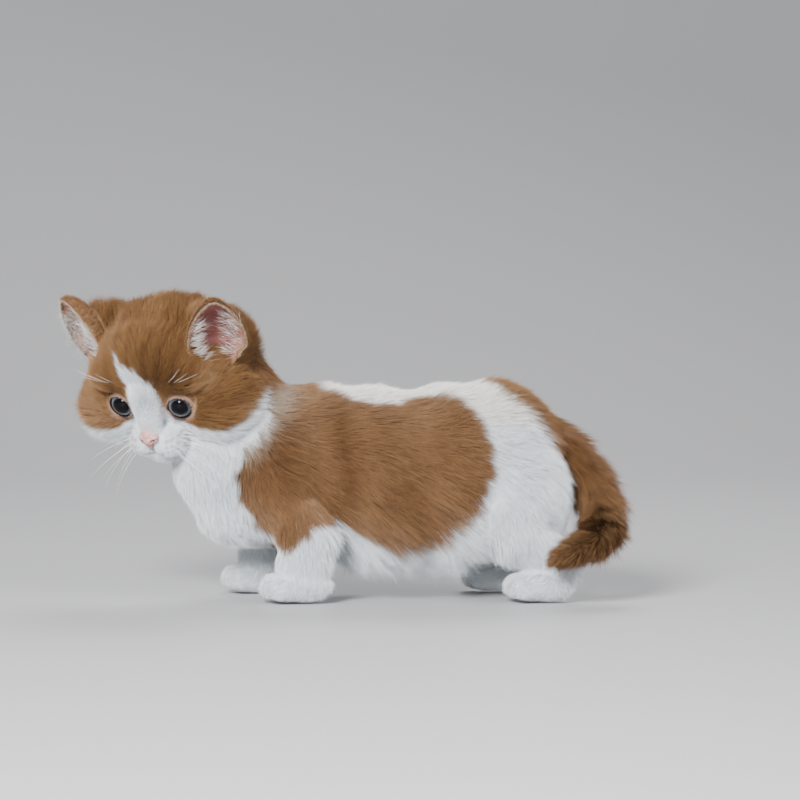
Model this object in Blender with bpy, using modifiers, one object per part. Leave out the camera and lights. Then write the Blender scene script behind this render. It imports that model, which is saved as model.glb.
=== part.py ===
"""A munchkin kitten, life size, standing on four short legs with its head turned left and down.

The nose points towards -X, the kitten's left side towards -Y, and the paws stand on Z 0.
"""

import math
import random

import bmesh
import bpy
from mathutils import Euler, Matrix, Vector
from mathutils.bvhtree import BVHTree

MM = 0.001
GAP = 0.3

# Driving dimensions, in millimetres, measured over the coat
BACK_HEIGHT = 92.0
BELLY_HEIGHT = 17.0
TRUNK_HALF_WIDTH = 37.5
STANCE_LENGTH = 103.0
STANCE_HALF_WIDTH = 24.0
FAR_FORE_LEAD = 8.0
FAR_HIND_LEAD = 7.0
PAW_HALF_LENGTH = 15.5
PAW_HALF_WIDTH = 11.5
HEAD_CENTRE = (-103.3, -6.0, 92.0)
HEAD_YAW = 53.0
HEAD_PITCH = 36.5
HEAD_ROLL = 0.5

# In the head's own axes: forward, left, up
EYE_RADIUS = 6.8
EYE_OPENING = 4.9
EYE_APEX = (20.8, 14.1, -0.9)
EYE_TURN = 10.0
LID_THICKNESS = 0.8
NOSE_TIP = (29.5, 0.0, -10.7)
EAR_BASE = (3.0, 30.5, 18.5)
EAR_TIP = (2.0, 34.5, 40.5)
EAR_ACROSS = (-0.49, 0.79, -0.36)
EAR_CURL = 75.0
EAR_HALF_WIDTH = 12.0
EAR_DEPTH = 9.0
EAR_THICKNESS = 1.8
MOUTH_HALF_WIDTH = 10.0
MOUTH_HEIGHT = -18.5
MOUTH_RISE = 2.0
MOUTH_LINE = 0.5
LIP_THICKNESS = 0.9

TRUNK_MIDDLE = (BACK_HEIGHT + BELLY_HEIGHT) / 2
TRUNK_HALF_HEIGHT = (BACK_HEIGHT - BELLY_HEIGHT) / 2
FORE_X = -STANCE_LENGTH / 2
HIND_X = STANCE_LENGTH / 2

# The tail's line with its radius over the coat, and its cuts into lengths
TAIL_LINE = [
    ((44, 0, 77), 9.0),
    ((56, -1, 73), 10.5),
    ((67, -3, 64), 11.5),
    ((75, -6, 53), 12.0),
    ((80, -12, 41), 12.0),
    ((79, -24, 32), 11.0),
    ((72, -35, 27), 9.5),
    ((62, -42, 23), 7.5),
    ((54, -45, 20), 5.0),
]
TAIL_CUTS = (3, 5)
TAIL_CORE = 0.68
TAIL_RING_SPACING = 10.0
TAIL_LOCK = 16.0
TAIL_CROWDING = 0.5

# The locks of the coat
LOCK_SINK = 2.6
LOCK_RINGS = ((0.25, 1.0), (0.68, 0.75))
LOCK_GAP = 0.25

# Colours of the coat and the bare skin: linear red, green, blue, then roughness
GINGER = ((0.36, 0.17, 0.06), 0.8)
WHITE = ((0.78, 0.78, 0.78), 0.8)
PINK = ((0.60, 0.28, 0.25), 0.5)
EYE_BLUE = ((0.05, 0.06, 0.08), 0.1)


def clear_scene():
    for obj in list(bpy.data.objects):
        bpy.data.objects.remove(obj)


def ball(centre, radii, turn=(0, 0, 0), segments=32):
    """An ellipsoid as (kind, matrix, segments), turned by Euler angles in degrees."""
    place = Matrix.Translation(Vector(centre) * MM)
    spin = Euler([math.radians(a) for a in turn]).to_matrix().to_4x4()
    return place @ spin @ Matrix.Diagonal((*(Vector(radii) * MM), 1)), segments


def bone(start, start_radius, end, end_radius, steps=9):
    """A tapered limb, as a close row of balls from one end to the other."""
    a, b = Vector(start), Vector(end)
    row = []
    for i in range(steps):
        t = i / (steps - 1)
        radius = start_radius + (end_radius - start_radius) * t
        row.append(ball(a.lerp(b, t), (radius,) * 3, segments=20))
    return row


def object_from(mesh, name, look):
    colour, roughness = look
    material = bpy.data.materials.new(name)
    material.use_nodes = True
    shader = material.node_tree.nodes["Principled BSDF"]
    shader.inputs["Base Color"].default_value = (*colour, 1)
    shader.inputs["Roughness"].default_value = roughness
    mesh.materials.clear()
    mesh.materials.append(material)
    obj = bpy.data.objects.new(name, mesh)
    bpy.context.scene.collection.objects.link(obj)
    return obj


def baked(obj):
    """Applies the object's modifiers."""
    graph = bpy.context.evaluated_depsgraph_get()
    mesh = bpy.data.meshes.new_from_object(obj.evaluated_get(graph))
    obj.modifiers.clear()
    obj.data = mesh
    return obj


def triangle_count(mesh):
    return sum(len(face.vertices) - 2 for face in mesh.polygons)


def reduced(obj, triangles):
    """Thins the mesh to about that many triangles, fewest where it is flattest."""
    decimate = obj.modifiers.new("thin", "DECIMATE")
    decimate.ratio = min(1.0, triangles / triangle_count(obj.data))
    decimate.use_collapse_triangulate = True
    return baked(obj)


def form(name, balls, look, voxel, smoothing, triangles):
    """One smooth closed body from overlapping balls."""
    shape = bmesh.new()
    for matrix, segments in balls:
        bmesh.ops.create_uvsphere(
            shape, u_segments=segments, v_segments=segments // 2, radius=1, matrix=matrix
        )
    mesh = bpy.data.meshes.new(name)
    shape.to_mesh(mesh)
    shape.free()
    obj = object_from(mesh, name, look)
    remesh = obj.modifiers.new("fuse", "REMESH")
    remesh.mode = "VOXEL"
    remesh.voxel_size = voxel * MM
    smooth = obj.modifiers.new("smooth", "SMOOTH")
    smooth.factor = 0.5
    smooth.iterations = smoothing
    baked(obj)
    return reduced(obj, triangles)


def keep_largest(obj):
    """Drops every loose scrap but the largest closed surface."""
    shape = bmesh.new()
    shape.from_mesh(obj.data)
    left = set(shape.verts)
    groups = []
    while left:
        group = set()
        edge = [left.pop()]
        while edge:
            vert = edge.pop()
            group.add(vert)
            for link in vert.link_edges:
                other = link.other_vert(vert)
                if other in left:
                    left.discard(other)
                    edge.append(other)
        groups.append(group)
    groups.sort(key=len)
    for group in groups[:-1]:
        bmesh.ops.delete(shape, geom=list(group), context="VERTS")
    shape.to_mesh(obj.data)
    shape.free()
    return obj


def is_manifold(obj):
    shape = bmesh.new()
    shape.from_mesh(obj.data)
    whole = all(edge.is_manifold for edge in shape.edges) and all(vert.is_manifold for vert in shape.verts)
    shape.free()
    return whole


def combine(obj, operation, others, quick=False):
    """Applies one Boolean between the object and a collection of others, which it removes."""
    solver = "MANIFOLD" if quick and all(is_manifold(each) for each in (obj, *others)) else "EXACT"
    operands = bpy.data.collections.new("operands")
    for other in others:
        operands.objects.link(other)
    boolean = obj.modifiers.new("join", "BOOLEAN")
    boolean.operand_type = "COLLECTION"
    boolean.collection = operands
    boolean.operation = operation
    boolean.solver = solver
    baked(obj)
    for other in list(operands.objects):
        bpy.data.objects.remove(other)
    bpy.data.collections.remove(operands)
    return keep_largest(obj)


def swollen(obj, amount=GAP):
    """A copy of the object, larger by the gap that touching solids keep."""
    copy = obj.copy()
    copy.data = obj.data.copy()
    bpy.context.scene.collection.objects.link(copy)
    displace = copy.modifiers.new("swell", "DISPLACE")
    displace.mid_level = 0
    displace.strength = amount * MM
    return baked(copy)


def trimmed(obj, *neighbours):
    """Cuts the object clear of each neighbour."""
    for neighbour in neighbours:
        combine(obj, "DIFFERENCE", [swollen(neighbour)])
    return obj


def block(name, low, high, matrix=None):
    """A box between two corners, used as a cutter."""
    low, high = Vector(low) * MM, Vector(high) * MM
    shape = bmesh.new()
    size = Matrix.Diagonal((*(high - low), 1))
    bmesh.ops.create_cube(shape, size=1, matrix=Matrix.Translation((low + high) / 2) @ size)
    if matrix:
        bmesh.ops.transform(shape, matrix=matrix, verts=shape.verts)
    mesh = bpy.data.meshes.new(name)
    shape.to_mesh(mesh)
    shape.free()
    return object_from(mesh, name, GINGER)


def on_floor(obj):
    """Cuts a flat where the object stands."""
    return combine(obj, "DIFFERENCE", [block("floor", (-200, -200, -60), (200, 200, 0))])


def surface(obj):
    """The object's faces, for finding points on them."""
    shape = bmesh.new()
    shape.from_mesh(obj.data)
    tree = BVHTree.FromBMesh(shape)
    shape.free()
    return tree


def lock(tree, root, lie, size, stand, dice):
    """One flat, tapered, bent lock, its root sunk well in below the surface point nearest to root.

    The lock runs along the lie, and its tip stands off the surface by that share of its length.
    """
    length, width, thickness = (value * dice.uniform(0.88, 1.12) * MM for value in size)
    spot, normal = tree.find_nearest(Vector(root) * MM)[:2]
    heading = Vector(lie).normalized()
    heading = (heading - normal * heading.dot(normal)).normalized()
    heading.rotate(Matrix.Rotation(math.radians(dice.uniform(-14, 14)), 3, normal))
    bend = math.radians(dice.uniform(-12, 12))
    shape = bmesh.new()
    root = shape.verts.new(spot - normal * LOCK_SINK * MM - heading * length * 0.1)
    rings = []
    reach = 0
    for share, breadth in LOCK_RINGS:
        spot, normal = tree.find_nearest(spot + heading * length * (share - reach))[:2]
        reach = share
        heading = (heading - normal * heading.dot(normal)).normalized()
        heading.rotate(Matrix.Rotation(bend, 3, normal))
        centre = spot + normal * length * stand * share
        side = heading.cross(normal).normalized() * width * breadth / 2
        rise = normal * thickness * breadth / 2
        rings.append([shape.verts.new(centre + arm) for arm in (side, rise, -side, -rise)])
    foot, normal = tree.find_nearest(spot + heading * length * (1 - reach))[:2]
    tip = shape.verts.new(foot + normal * length * stand)
    for i in range(4):
        shape.faces.new((rings[0][i - 1], rings[0][i], root))
        for lower, upper in zip(rings, rings[1:]):
            shape.faces.new((lower[i], lower[i - 1], upper[i - 1], upper[i]))
        shape.faces.new((rings[-1][i], rings[-1][i - 1], tip))
    bmesh.ops.triangulate(shape, faces=shape.faces)
    bmesh.ops.recalc_face_normals(shape, faces=shape.faces)
    mesh = bpy.data.meshes.new("lock")
    shape.to_mesh(mesh)
    shape.free()
    return object_from(mesh, "lock", GINGER)


def dressed(obj, locks, *neighbours):
    """Fuses the locks on, and cuts them clear of the neighbours."""
    combine(obj, "UNION", locks, quick=True)
    for neighbour in neighbours:
        combine(obj, "DIFFERENCE", [swollen(neighbour, LOCK_GAP)], quick=True)
    return obj


def trunk_locks(torso):
    """The longer coat of the back and rump, the ruff, the bib and the fringe under the belly."""
    dice = random.Random(11)
    tree = surface(torso)
    locks = []
    for i in range(9):
        for y in ((-13, 0, 13), (-19, -6.5, 6.5, 19))[i % 2]:
            root = (-34 + 10 * i, y, 120)
            locks.append(lock(tree, root, (1, y * 0.012, -0.1), (17, 11, 3), 0.17, dice))
    for i in range(4):
        for y in ((-13, 0, 13), (-19, -6.5, 6.5, 19))[i % 2]:
            root = (-130, y, 66 - 10 * i)
            locks.append(lock(tree, root, (0.3, y * 0.01, -1), (16, 11, 3), 0.2, dice))
    for side in (-1, 1):
        for i in range(4):
            root = (-50 - 8 * i, side * (24 + 2 * i), 89 - 10 * i)
            locks.append(lock(tree, root, (0.8, side * 0.2, -0.6), (14, 9, 2.8), 0.22, dice))
    for i in range(7):
        x = -32 + 9.3 * i
        drop = 17 if x < 8 else 17 - (x - 8) * 0.25
        for y in ((-27, -9, 9, 27), (-18, 0, 18))[i % 2]:
            root = (x, y, 5 if abs(y) < 20 else 20)
            locks.append(lock(tree, root, (0.5, -y * 0.01, -0.5), (drop, 10, 3), 0.75, dice))
    return locks


def trunk():
    balls = [
        ball((-56, 0, TRUNK_MIDDLE + 1), (36, 34, TRUNK_HALF_HEIGHT - 0.5)),
        ball((-81, -1, 60), (23, 26, 28)),
        ball((-38, 0, TRUNK_MIDDLE + 1), (30, 34, TRUNK_HALF_HEIGHT)),
        ball((-71, 0, 42), (23, 25, 24)),
        ball((-18, 0, TRUNK_MIDDLE), (44, TRUNK_HALF_WIDTH, TRUNK_HALF_HEIGHT)),
        ball((15, 0, TRUNK_MIDDLE + 1), (38, TRUNK_HALF_WIDTH, TRUNK_HALF_HEIGHT)),
        ball((36, 0, 60), (30, 35, 35.5)),
        ball((-60, -18, 54), (22, 20, 30)),
        ball((-64, 18, 54), (22, 20, 30)),
        ball((42, -17, 46), (25, 20, 30)),
        ball((38, 17, 46), (25, 20, 30)),
    ]
    return form("torso", balls, GINGER, 2.0, 40, 1100)


def foreleg(side, sign, lead):
    x, y = FORE_X - lead, sign * STANCE_HALF_WIDTH
    balls = [
        *bone((x - 6 + lead / 2, y * 0.8, 44), 16, (x + 4, y, 28), 14),
        *bone((x + 4, y, 28), 14, (x + 2, y, 12), 12),
    ]
    return form(f"foreleg_{side}", balls, WHITE, 1.5, 8, 200)


def paw(name, x, y):
    toes = []
    for i in range(4):
        across = (i - 1.5) / 1.5
        toes.append(
            ball(
                (x - PAW_HALF_LENGTH * (0.66 - 0.12 * across**2), y + across * PAW_HALF_WIDTH * 0.62, 6.2),
                (5.6, 4.0, 6.4),
                segments=20,
            )
        )
    balls = [
        ball((x + 1.5, y, 8.0), (PAW_HALF_LENGTH - 1.5, PAW_HALF_WIDTH, 9.0)),
        ball((x - 4, y, 7.0), (PAW_HALF_LENGTH - 5, PAW_HALF_WIDTH, 8.0)),
        *toes,
    ]
    return on_floor(form(name, balls, WHITE, 1.0, 4, 300))


def hind_leg(side, sign, lead):
    x, y = HIND_X - lead, sign * STANCE_HALF_WIDTH
    balls = [
        *bone((x - 12, y * 0.85, 38), 17, (x - 8, y * 0.95, 28), 14),
        *bone((x - 8, y * 0.95, 28), 14, (x + 7, y, 17), 11),
        *bone((x + 7, y, 17), 11, (x + 5, y, 10), 9.5),
    ]
    return form(f"hind_leg_{side}", balls, WHITE, 1.5, 8, 220)


def head_matrix():
    """From the head's own axes, forward, left and up, to the animal's."""
    turn = (
        Matrix.Rotation(math.radians(180 + HEAD_YAW), 4, "Z")
        @ Matrix.Rotation(math.radians(HEAD_PITCH), 4, "Y")
        @ Matrix.Rotation(math.radians(HEAD_ROLL), 4, "X")
    )
    return Matrix.Translation(Vector(HEAD_CENTRE) * MM) @ turn


def in_head(balls):
    place = head_matrix()
    return [(place @ matrix, segments) for matrix, segments in balls]


def skull():
    balls = [
        ball((-8, 0, 4), (30, 38, 29)),
        ball((6, 0, 10), (17, 26, 19)),
        ball((3, 0, -20), (19, 30, 14)),
        ball((19, 0, -22), (8, 8.5, 6)),
        *bone((19, 0, 4), 9, (24.5, 0, -10), 5.0),
    ]
    for side in (1, -1):
        balls += [
            ball((0, side * 20.5, -8), (21, 21.5, 20)),
            ball((-20, side * 15, 0), (20, 20, 22)),
            ball((21, side * 5.5, -16.5), (9, 8, 7)),
            ball((13, side * 14, 9), (10.5, 11.5, 9)),
        ]
    return form("head", in_head(balls), GINGER, 1.2, 12, 1400)


def eye_place(side):
    """The eyeball's centre and the way that it looks, in the head's axes; side is 1 for the left eye."""
    turn = math.radians(EYE_TURN)
    look = Vector((math.cos(turn), side * math.sin(turn), 0))
    apex = Vector((EYE_APEX[0], side * EYE_APEX[1], EYE_APEX[2]))
    return apex - look * EYE_RADIUS, look


def mesh_object(name, shape, look):
    """The shape, built in the head's axes in millimetres, as an object in its place."""
    bmesh.ops.transform(shape, matrix=head_matrix() @ Matrix.Scale(MM, 4), verts=shape.verts)
    mesh = bpy.data.meshes.new(name)
    shape.to_mesh(mesh)
    shape.free()
    return object_from(mesh, name, look)


def sphere_in_head(name, centre, radius, look):
    shape = bmesh.new()
    bmesh.ops.create_uvsphere(
        shape, u_segments=14, v_segments=9, radius=radius, matrix=Matrix.Translation(centre)
    )
    return mesh_object(name, shape, look)


def eye(name, side):
    return sphere_in_head(name, eye_place(side)[0], EYE_RADIUS, EYE_BLUE)


def ring_points(side, radius, along, count=16):
    """A circle round the eye's line of sight, at a distance from the eyeball's centre."""
    centre, look = eye_place(side)
    across = look.cross(Vector((0, 0, 1))).normalized()
    up = across.cross(look)
    points = []
    for i in range(count):
        angle = math.tau * i / count
        points.append(
            centre + look * along + (across * math.cos(angle) + up * math.sin(angle)) * radius
        )
    return points


def tube_in_head(name, points, radius, look, cyclic=False):
    """A closed, four-sided mesh tube along points in the head's axes."""
    curve = bpy.data.curves.new(name, "CURVE")
    curve.dimensions = "3D"
    curve.bevel_depth = radius
    curve.bevel_resolution = 0
    curve.use_fill_caps = True
    spline = curve.splines.new("POLY")
    spline.points.add(len(points) - 1)
    spline.use_cyclic_u = cyclic
    for point, place in zip(spline.points, points):
        point.co = (*place, 1)
    guide = bpy.data.objects.new(name, curve)
    bpy.context.scene.collection.objects.link(guide)
    graph = bpy.context.evaluated_depsgraph_get()
    mesh = bpy.data.meshes.new_from_object(guide.evaluated_get(graph))
    bpy.data.objects.remove(guide)
    shape = bmesh.new()
    shape.from_mesh(mesh)
    bmesh.ops.remove_doubles(shape, verts=shape.verts, dist=0.01)
    bmesh.ops.recalc_face_normals(shape, faces=shape.faces)
    return mesh_object(name, shape, look)


def open_eye(head, side):
    """Cuts the socket and the opening between the lids, and lays the rim of the lids round it."""
    centre, look = eye_place(side)
    socket = sphere_in_head("socket", centre, EYE_RADIUS + GAP, GINGER)
    rim_radius = EYE_OPENING + LID_THICKNESS
    rim_along = math.sqrt((EYE_RADIUS + GAP + LID_THICKNESS) ** 2 - rim_radius**2)
    flare = bmesh.new()
    bmesh.ops.create_cone(
        flare,
        cap_ends=True,
        segments=16,
        radius1=rim_radius - 0.2,
        radius2=rim_radius + 4,
        depth=10,
        matrix=Matrix.Translation(centre + look * (rim_along + 5))
        @ look.to_track_quat("Z", "Y").to_matrix().to_4x4(),
    )
    combine(head, "DIFFERENCE", [socket], quick=True)
    combine(head, "DIFFERENCE", [mesh_object("flare", flare, GINGER)], quick=True)
    rim = tube_in_head("lid", ring_points(side, rim_radius, rim_along), LID_THICKNESS, PINK, True)
    return combine(head, "UNION", [rim], quick=True)


def front_point(tree, left, up):
    """The point of the face, in the head's axes, that is seen from straight ahead."""
    place = head_matrix()
    origin = place @ (Vector((60, left, up)) * MM)
    direction = -(place.to_3x3() @ Vector((1, 0, 0)))
    hit = tree.ray_cast(origin, direction)[0]
    return (place.inverted() @ hit) / MM


def mouth(head):
    """Two soft lips with the line of the mouth between them, up to the nose."""
    tree = surface(head)
    line = []
    for i in range(-5, 6):
        t = i / 5
        line.append((MOUTH_HALF_WIDTH * t, MOUTH_HEIGHT + MOUTH_RISE * (abs(t) ** 2 - 0.35 * abs(t))))
    for above in (LIP_THICKNESS, -LIP_THICKNESS):
        points = [front_point(tree, left, up + above) - Vector((0.35, 0, 0)) for left, up in line]
        combine(head, "UNION", [tube_in_head("lip", points, LIP_THICKNESS, PINK)], quick=True)
    groove = [front_point(tree, left, up) for left, up in line]
    parting = [
        front_point(tree, 0, MOUTH_HEIGHT + (NOSE_TIP[2] - 2.5 - MOUTH_HEIGHT) * i / 4) for i in range(5)
    ]
    cutters = [tube_in_head("line", points, MOUTH_LINE, PINK) for points in (groove, parting)]
    return combine(head, "DIFFERENCE", cutters, quick=True)


def nose():
    x, y, z = NOSE_TIP
    balls = [
        ball((x - 1.8, y, z + 0.8), (2.0, 3.2, 1.8), segments=20),
        ball((x - 1.8, y, z - 1.8), (1.7, 1.2, 1.8), segments=20),
    ]
    holes = []
    for side in (1, -1):
        balls.append(ball((x - 2.4, side * 2.6, z + 0.2), (2.2, 2.2, 1.7), segments=20))
        holes.append(ball((x - 0.2, side * 2.3, z - 0.3), (1.5, 1.0, 0.6), (side * 25, 0, 0), 12))
    leather = form("nose", in_head(balls), PINK, 0.35, 3, 420)
    cutters = [form("nostril", in_head([hole]), PINK, 0.2, 1, 60) for hole in holes]
    return combine(leather, "DIFFERENCE", cutters)


def ear(name, side):
    """A pointed cup: a curved sheet, deepest along its middle, made as thick as an ear."""
    base = Vector((EAR_BASE[0], side * EAR_BASE[1], EAR_BASE[2]))
    tip = Vector((EAR_TIP[0], side * EAR_TIP[1], EAR_TIP[2]))
    up = (tip - base).normalized()
    across = Vector((EAR_ACROSS[0], side * EAR_ACROSS[1], EAR_ACROSS[2]))
    across = (across - up * across.dot(up)).normalized()
    front = across.cross(up) * side
    height = (tip - base).length
    shape = bmesh.new()
    rows, columns = 8, 8
    curl = math.radians(EAR_CURL)
    grid = []
    for j in range(rows + 1):
        v = -0.45 + 1.45 * j / rows
        spread = (1 - max(v, 0) ** 1.7) ** 0.75
        row = []
        for i in range(columns + 1):
            angle = curl * (2 * i / columns - 1)
            sideways = math.sin(angle) / math.sin(curl) * EAR_HALF_WIDTH * spread
            back = (math.cos(angle) - math.cos(curl)) / (1 - math.cos(curl)) * EAR_DEPTH * spread**0.7
            row.append(base + up * (v * height) + across * sideways - front * back)
        grid.append(row)
    verts = [[shape.verts.new(p) for p in row] for row in grid[:-1]]
    point = shape.verts.new(grid[-1][0])
    for lower, upper in zip(verts, verts[1:]):
        for i in range(columns):
            shape.faces.new((lower[i], lower[i + 1], upper[i + 1], upper[i]))
    for i in range(columns):
        shape.faces.new((verts[-1][i], verts[-1][i + 1], point))
    bmesh.ops.recalc_face_normals(shape, faces=shape.faces)
    obj = mesh_object(name, shape, GINGER)
    wall = obj.modifiers.new("wall", "SOLIDIFY")
    wall.thickness = EAR_THICKNESS * MM
    wall.offset = 0
    wall.use_even_offset = True
    return baked(obj)


def neck():
    balls = bone((-68, 0, 70), 26, (-86, -4, 89), 27)
    return form("neck", balls, GINGER, 2.0, 6, 260)


def tail_cut(index):
    """A place on the tail's line and the way the tail runs there."""
    before, here, after = (Vector(TAIL_LINE[i][0]) for i in (index - 1, index, index + 1))
    return here, (after - before).normalized()


def tail_locks(length, first, last):
    """Rings of locks along one length of the tail, the next ring over the gaps of the one before."""
    dice = random.Random(first + 20)
    tree = surface(length)
    line = [Vector(point) for point, radius in TAIL_LINE]
    locks = []
    spans = [(b - a).length for a, b in zip(line, line[1:])]
    start, end = sum(spans[:first]) + 2.5, sum(spans[:last]) - 2.5
    rings = max(2, round((end - start) / TAIL_RING_SPACING))
    for ring in range(rings):
        along = start + (end - start - TAIL_LOCK * 0.45) * ring / (rings - 1)
        index = 0
        while along > spans[index]:
            along -= spans[index]
            index += 1
        share = along / spans[index]
        heading = (line[index + 1] - line[index]).normalized()
        centre = line[index].lerp(line[index + 1], share)
        radius = TAIL_LINE[index][1] * (1 - share) + TAIL_LINE[index + 1][1] * share
        side = heading.cross(Vector((0, 0, 1))).normalized()
        rise = side.cross(heading)
        around = round(radius * TAIL_CROWDING)
        for i in range(around):
            angle = math.tau * (i + 0.5 * (ring % 2)) / around
            out = side * math.cos(angle) + rise * math.sin(angle)
            size = (TAIL_LOCK, radius * 0.78, 2.8)
            locks.append(lock(tree, centre + out * radius, heading + out * 0.1, size, 0.28, dice))
    return locks


def half_space(place, out, gap):
    """A block that fills all beyond a plane, from half the gap short of it."""
    turn = out.to_track_quat("Z", "Y").to_matrix().to_4x4()
    matrix = Matrix.Translation(place * MM) @ turn
    return block("beyond", (-100, -100, -gap / 2), (100, 100, 150), matrix)


def tail():
    """Three lengths of one tail, parted by thin cuts square to its line."""
    balls = []
    for (start, r0), (end, r1) in zip(TAIL_LINE, TAIL_LINE[1:]):
        balls += bone(start, r0 * TAIL_CORE, end, r1 * TAIL_CORE, 5)
    cuts = [tail_cut(index) for index in TAIL_CUTS]
    lengths = []
    for name, before, after in (
        ("tail_base", None, cuts[0]),
        ("tail_middle", cuts[0], cuts[1]),
        ("tail_tip", cuts[1], None),
    ):
        length = form(name, balls, GINGER, 1.5, 8, 360)
        if before:
            combine(length, "DIFFERENCE", [half_space(before[0], -before[1], GAP)])
        if after:
            combine(length, "DIFFERENCE", [half_space(after[0], after[1], GAP)])
        lengths.append(length)
    return lengths


def stand_at_origin():
    """Moves the whole kitten so that the middle of its footprint is at the origin."""
    corners = [vert.co for obj in bpy.data.objects for vert in obj.data.vertices]
    middle = [(min(c[i] for c in corners) + max(c[i] for c in corners)) / 2 for i in range(2)]
    for obj in bpy.data.objects:
        obj.data.transform(Matrix.Translation((-middle[0], -middle[1], 0)))


def cheek_locks(head):
    """Tufts along the edge of each cheek, pointing back and out."""
    dice = random.Random(5)
    tree = surface(head)
    place = head_matrix()
    turn = place.to_3x3()
    locks = []
    for side in (1, -1):
        for i in range(6):
            angle = math.radians(-62 + 17 * i)
            root = place @ (Vector((-4, side * 60 * math.cos(angle), 60 * math.sin(angle) - 5)) * MM) / MM
            lie = turn @ Vector((-1, side * 0.3, -0.5))
            locks.append(lock(tree, root, lie, (12, 10, 2.8), 0.3, dice))
    return locks


def main():
    clear_scene()
    torso = trunk()
    head = skull()
    trimmed(head, torso)
    nape = trimmed(neck(), torso, head)
    mouth(head)
    trimmed(nose(), head)
    ears = []
    for name, side in (("left", 1), ("right", -1)):
        ears.append(trimmed(ear(f"ear_{name}", side), head))
        open_eye(head, side)
        eye(f"eye_{name}", side)
    limbs = []
    for side, sign, fore_lead, hind_lead in (
        ("left", -1, 0, 0),
        ("right", 1, FAR_FORE_LEAD, FAR_HIND_LEAD),
    ):
        y = sign * STANCE_HALF_WIDTH
        fore = paw(f"forepaw_{side}", FORE_X - fore_lead, y)
        hind = paw(f"hind_paw_{side}", HIND_X - hind_lead, y)
        limbs += [fore, hind]
        limbs.append(trimmed(foreleg(side, sign, fore_lead), torso, fore))
        limbs.append(trimmed(hind_leg(side, sign, hind_lead), torso, hind))
    base, middle, tip = tail()
    trimmed(base, torso)
    dressed(base, tail_locks(base, 1, TAIL_CUTS[0]), torso, middle)
    dressed(middle, tail_locks(middle, *TAIL_CUTS), torso, base, tip, *limbs)
    dressed(tip, tail_locks(tip, TAIL_CUTS[1], len(TAIL_LINE) - 1), torso, middle, *limbs)
    dressed(torso, trunk_locks(torso), head, nape, base, middle, tip, *limbs)
    dressed(head, cheek_locks(head), torso, nape, *ears)
    stand_at_origin()


main()
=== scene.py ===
"""The dressed munchkin kitten: skin, coat, eyes, ears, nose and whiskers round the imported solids.

Shapes are worked out in millimetres in the kitten's own axes: the nose towards -X, its left side
towards -Y, the floor at Z 0. placed() turns them into the frame's metres.
"""

import math

import bmesh
import bpy
import numpy as np
from mathutils import Matrix, Vector
from mathutils.kdtree import KDTree


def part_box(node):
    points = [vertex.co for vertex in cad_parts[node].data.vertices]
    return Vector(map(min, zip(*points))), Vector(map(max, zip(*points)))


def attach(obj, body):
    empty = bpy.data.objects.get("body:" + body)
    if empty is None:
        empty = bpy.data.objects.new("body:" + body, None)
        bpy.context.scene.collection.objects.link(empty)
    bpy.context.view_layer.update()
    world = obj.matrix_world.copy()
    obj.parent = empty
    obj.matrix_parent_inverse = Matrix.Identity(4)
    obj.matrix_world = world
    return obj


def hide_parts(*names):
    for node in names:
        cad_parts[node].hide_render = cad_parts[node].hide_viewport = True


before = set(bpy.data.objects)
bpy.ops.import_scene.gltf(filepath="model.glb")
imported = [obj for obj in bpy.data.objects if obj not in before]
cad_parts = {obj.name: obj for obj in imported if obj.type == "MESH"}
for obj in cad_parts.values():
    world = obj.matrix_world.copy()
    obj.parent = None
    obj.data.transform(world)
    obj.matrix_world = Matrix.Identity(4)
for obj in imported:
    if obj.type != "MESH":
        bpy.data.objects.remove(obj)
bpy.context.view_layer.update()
MM = 0.001
random = np.random.default_rng(7)

# Driving dimensions of the body over its coat, the same as the solids'
BACK_HEIGHT = 92.0
BELLY_HEIGHT = 17.0
TRUNK_HALF_WIDTH = 37.5
STANCE_LENGTH = 103.0
STANCE_HALF_WIDTH = 24.0
FAR_FORE_LEAD = 8.0
FAR_HIND_LEAD = 7.0
PAW_HALF_LENGTH = 15.5
PAW_HALF_WIDTH = 11.5
HEAD_CENTRE = np.array((-103.3, -6.0, 92.0))
HEAD_YAW = 53.0
HEAD_PITCH = 36.5
HEAD_ROLL = 0.5
TRUNK_MIDDLE = (BACK_HEIGHT + BELLY_HEIGHT) / 2
TRUNK_HALF_HEIGHT = (BACK_HEIGHT - BELLY_HEIGHT) / 2
FORE_X = -STANCE_LENGTH / 2
HIND_X = STANCE_LENGTH / 2

# In the head's own axes: forward, left, up
EYE_RADIUS = 6.8
EYE_APEX = (20.8, 14.1, -0.9)
EYE_TURN = 10.0
EYE_HALF_WIDTH = 5.15
EYE_HALF_HEIGHT = 5.15
INNER_CORNER = math.radians(192)
PUPIL_RADIUS = 3.45
CORNEA_RADIUS = 4.7
CORNEA_REACH = 4.1
GAZE = np.array((0.73, 0.42, 0.54))
NOSE_TIP = (29.5, 0.0, -10.7)
EAR_BASE = np.array((3.0, 30.5, 18.5))
EAR_TIP = np.array((2.0, 34.5, 40.5))
EAR_ACROSS = np.array((-0.49, 0.79, -0.36))
EAR_HALF_WIDTH = 12.0
EAR_DEPTH = 9.0
EAR_CURL = math.radians(75)
EAR_ROOT = -0.45
MOUTH_HALF_WIDTH = 7.0
MOUTH_HEIGHT = -18.5
MOUTH_RISE = 2.0

TAIL_LINE = [
    ((44, 0, 77), 9.0),
    ((56, -1, 73), 10.5),
    ((67, -3, 64), 11.5),
    ((75, -6, 53), 12.0),
    ((80, -12, 41), 12.0),
    ((79, -24, 32), 11.0),
    ((72, -35, 27), 9.5),
    ((62, -42, 23), 7.5),
    ((54, -45, 20), 5.0),
]
TAIL_SKIN = 0.48

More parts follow.
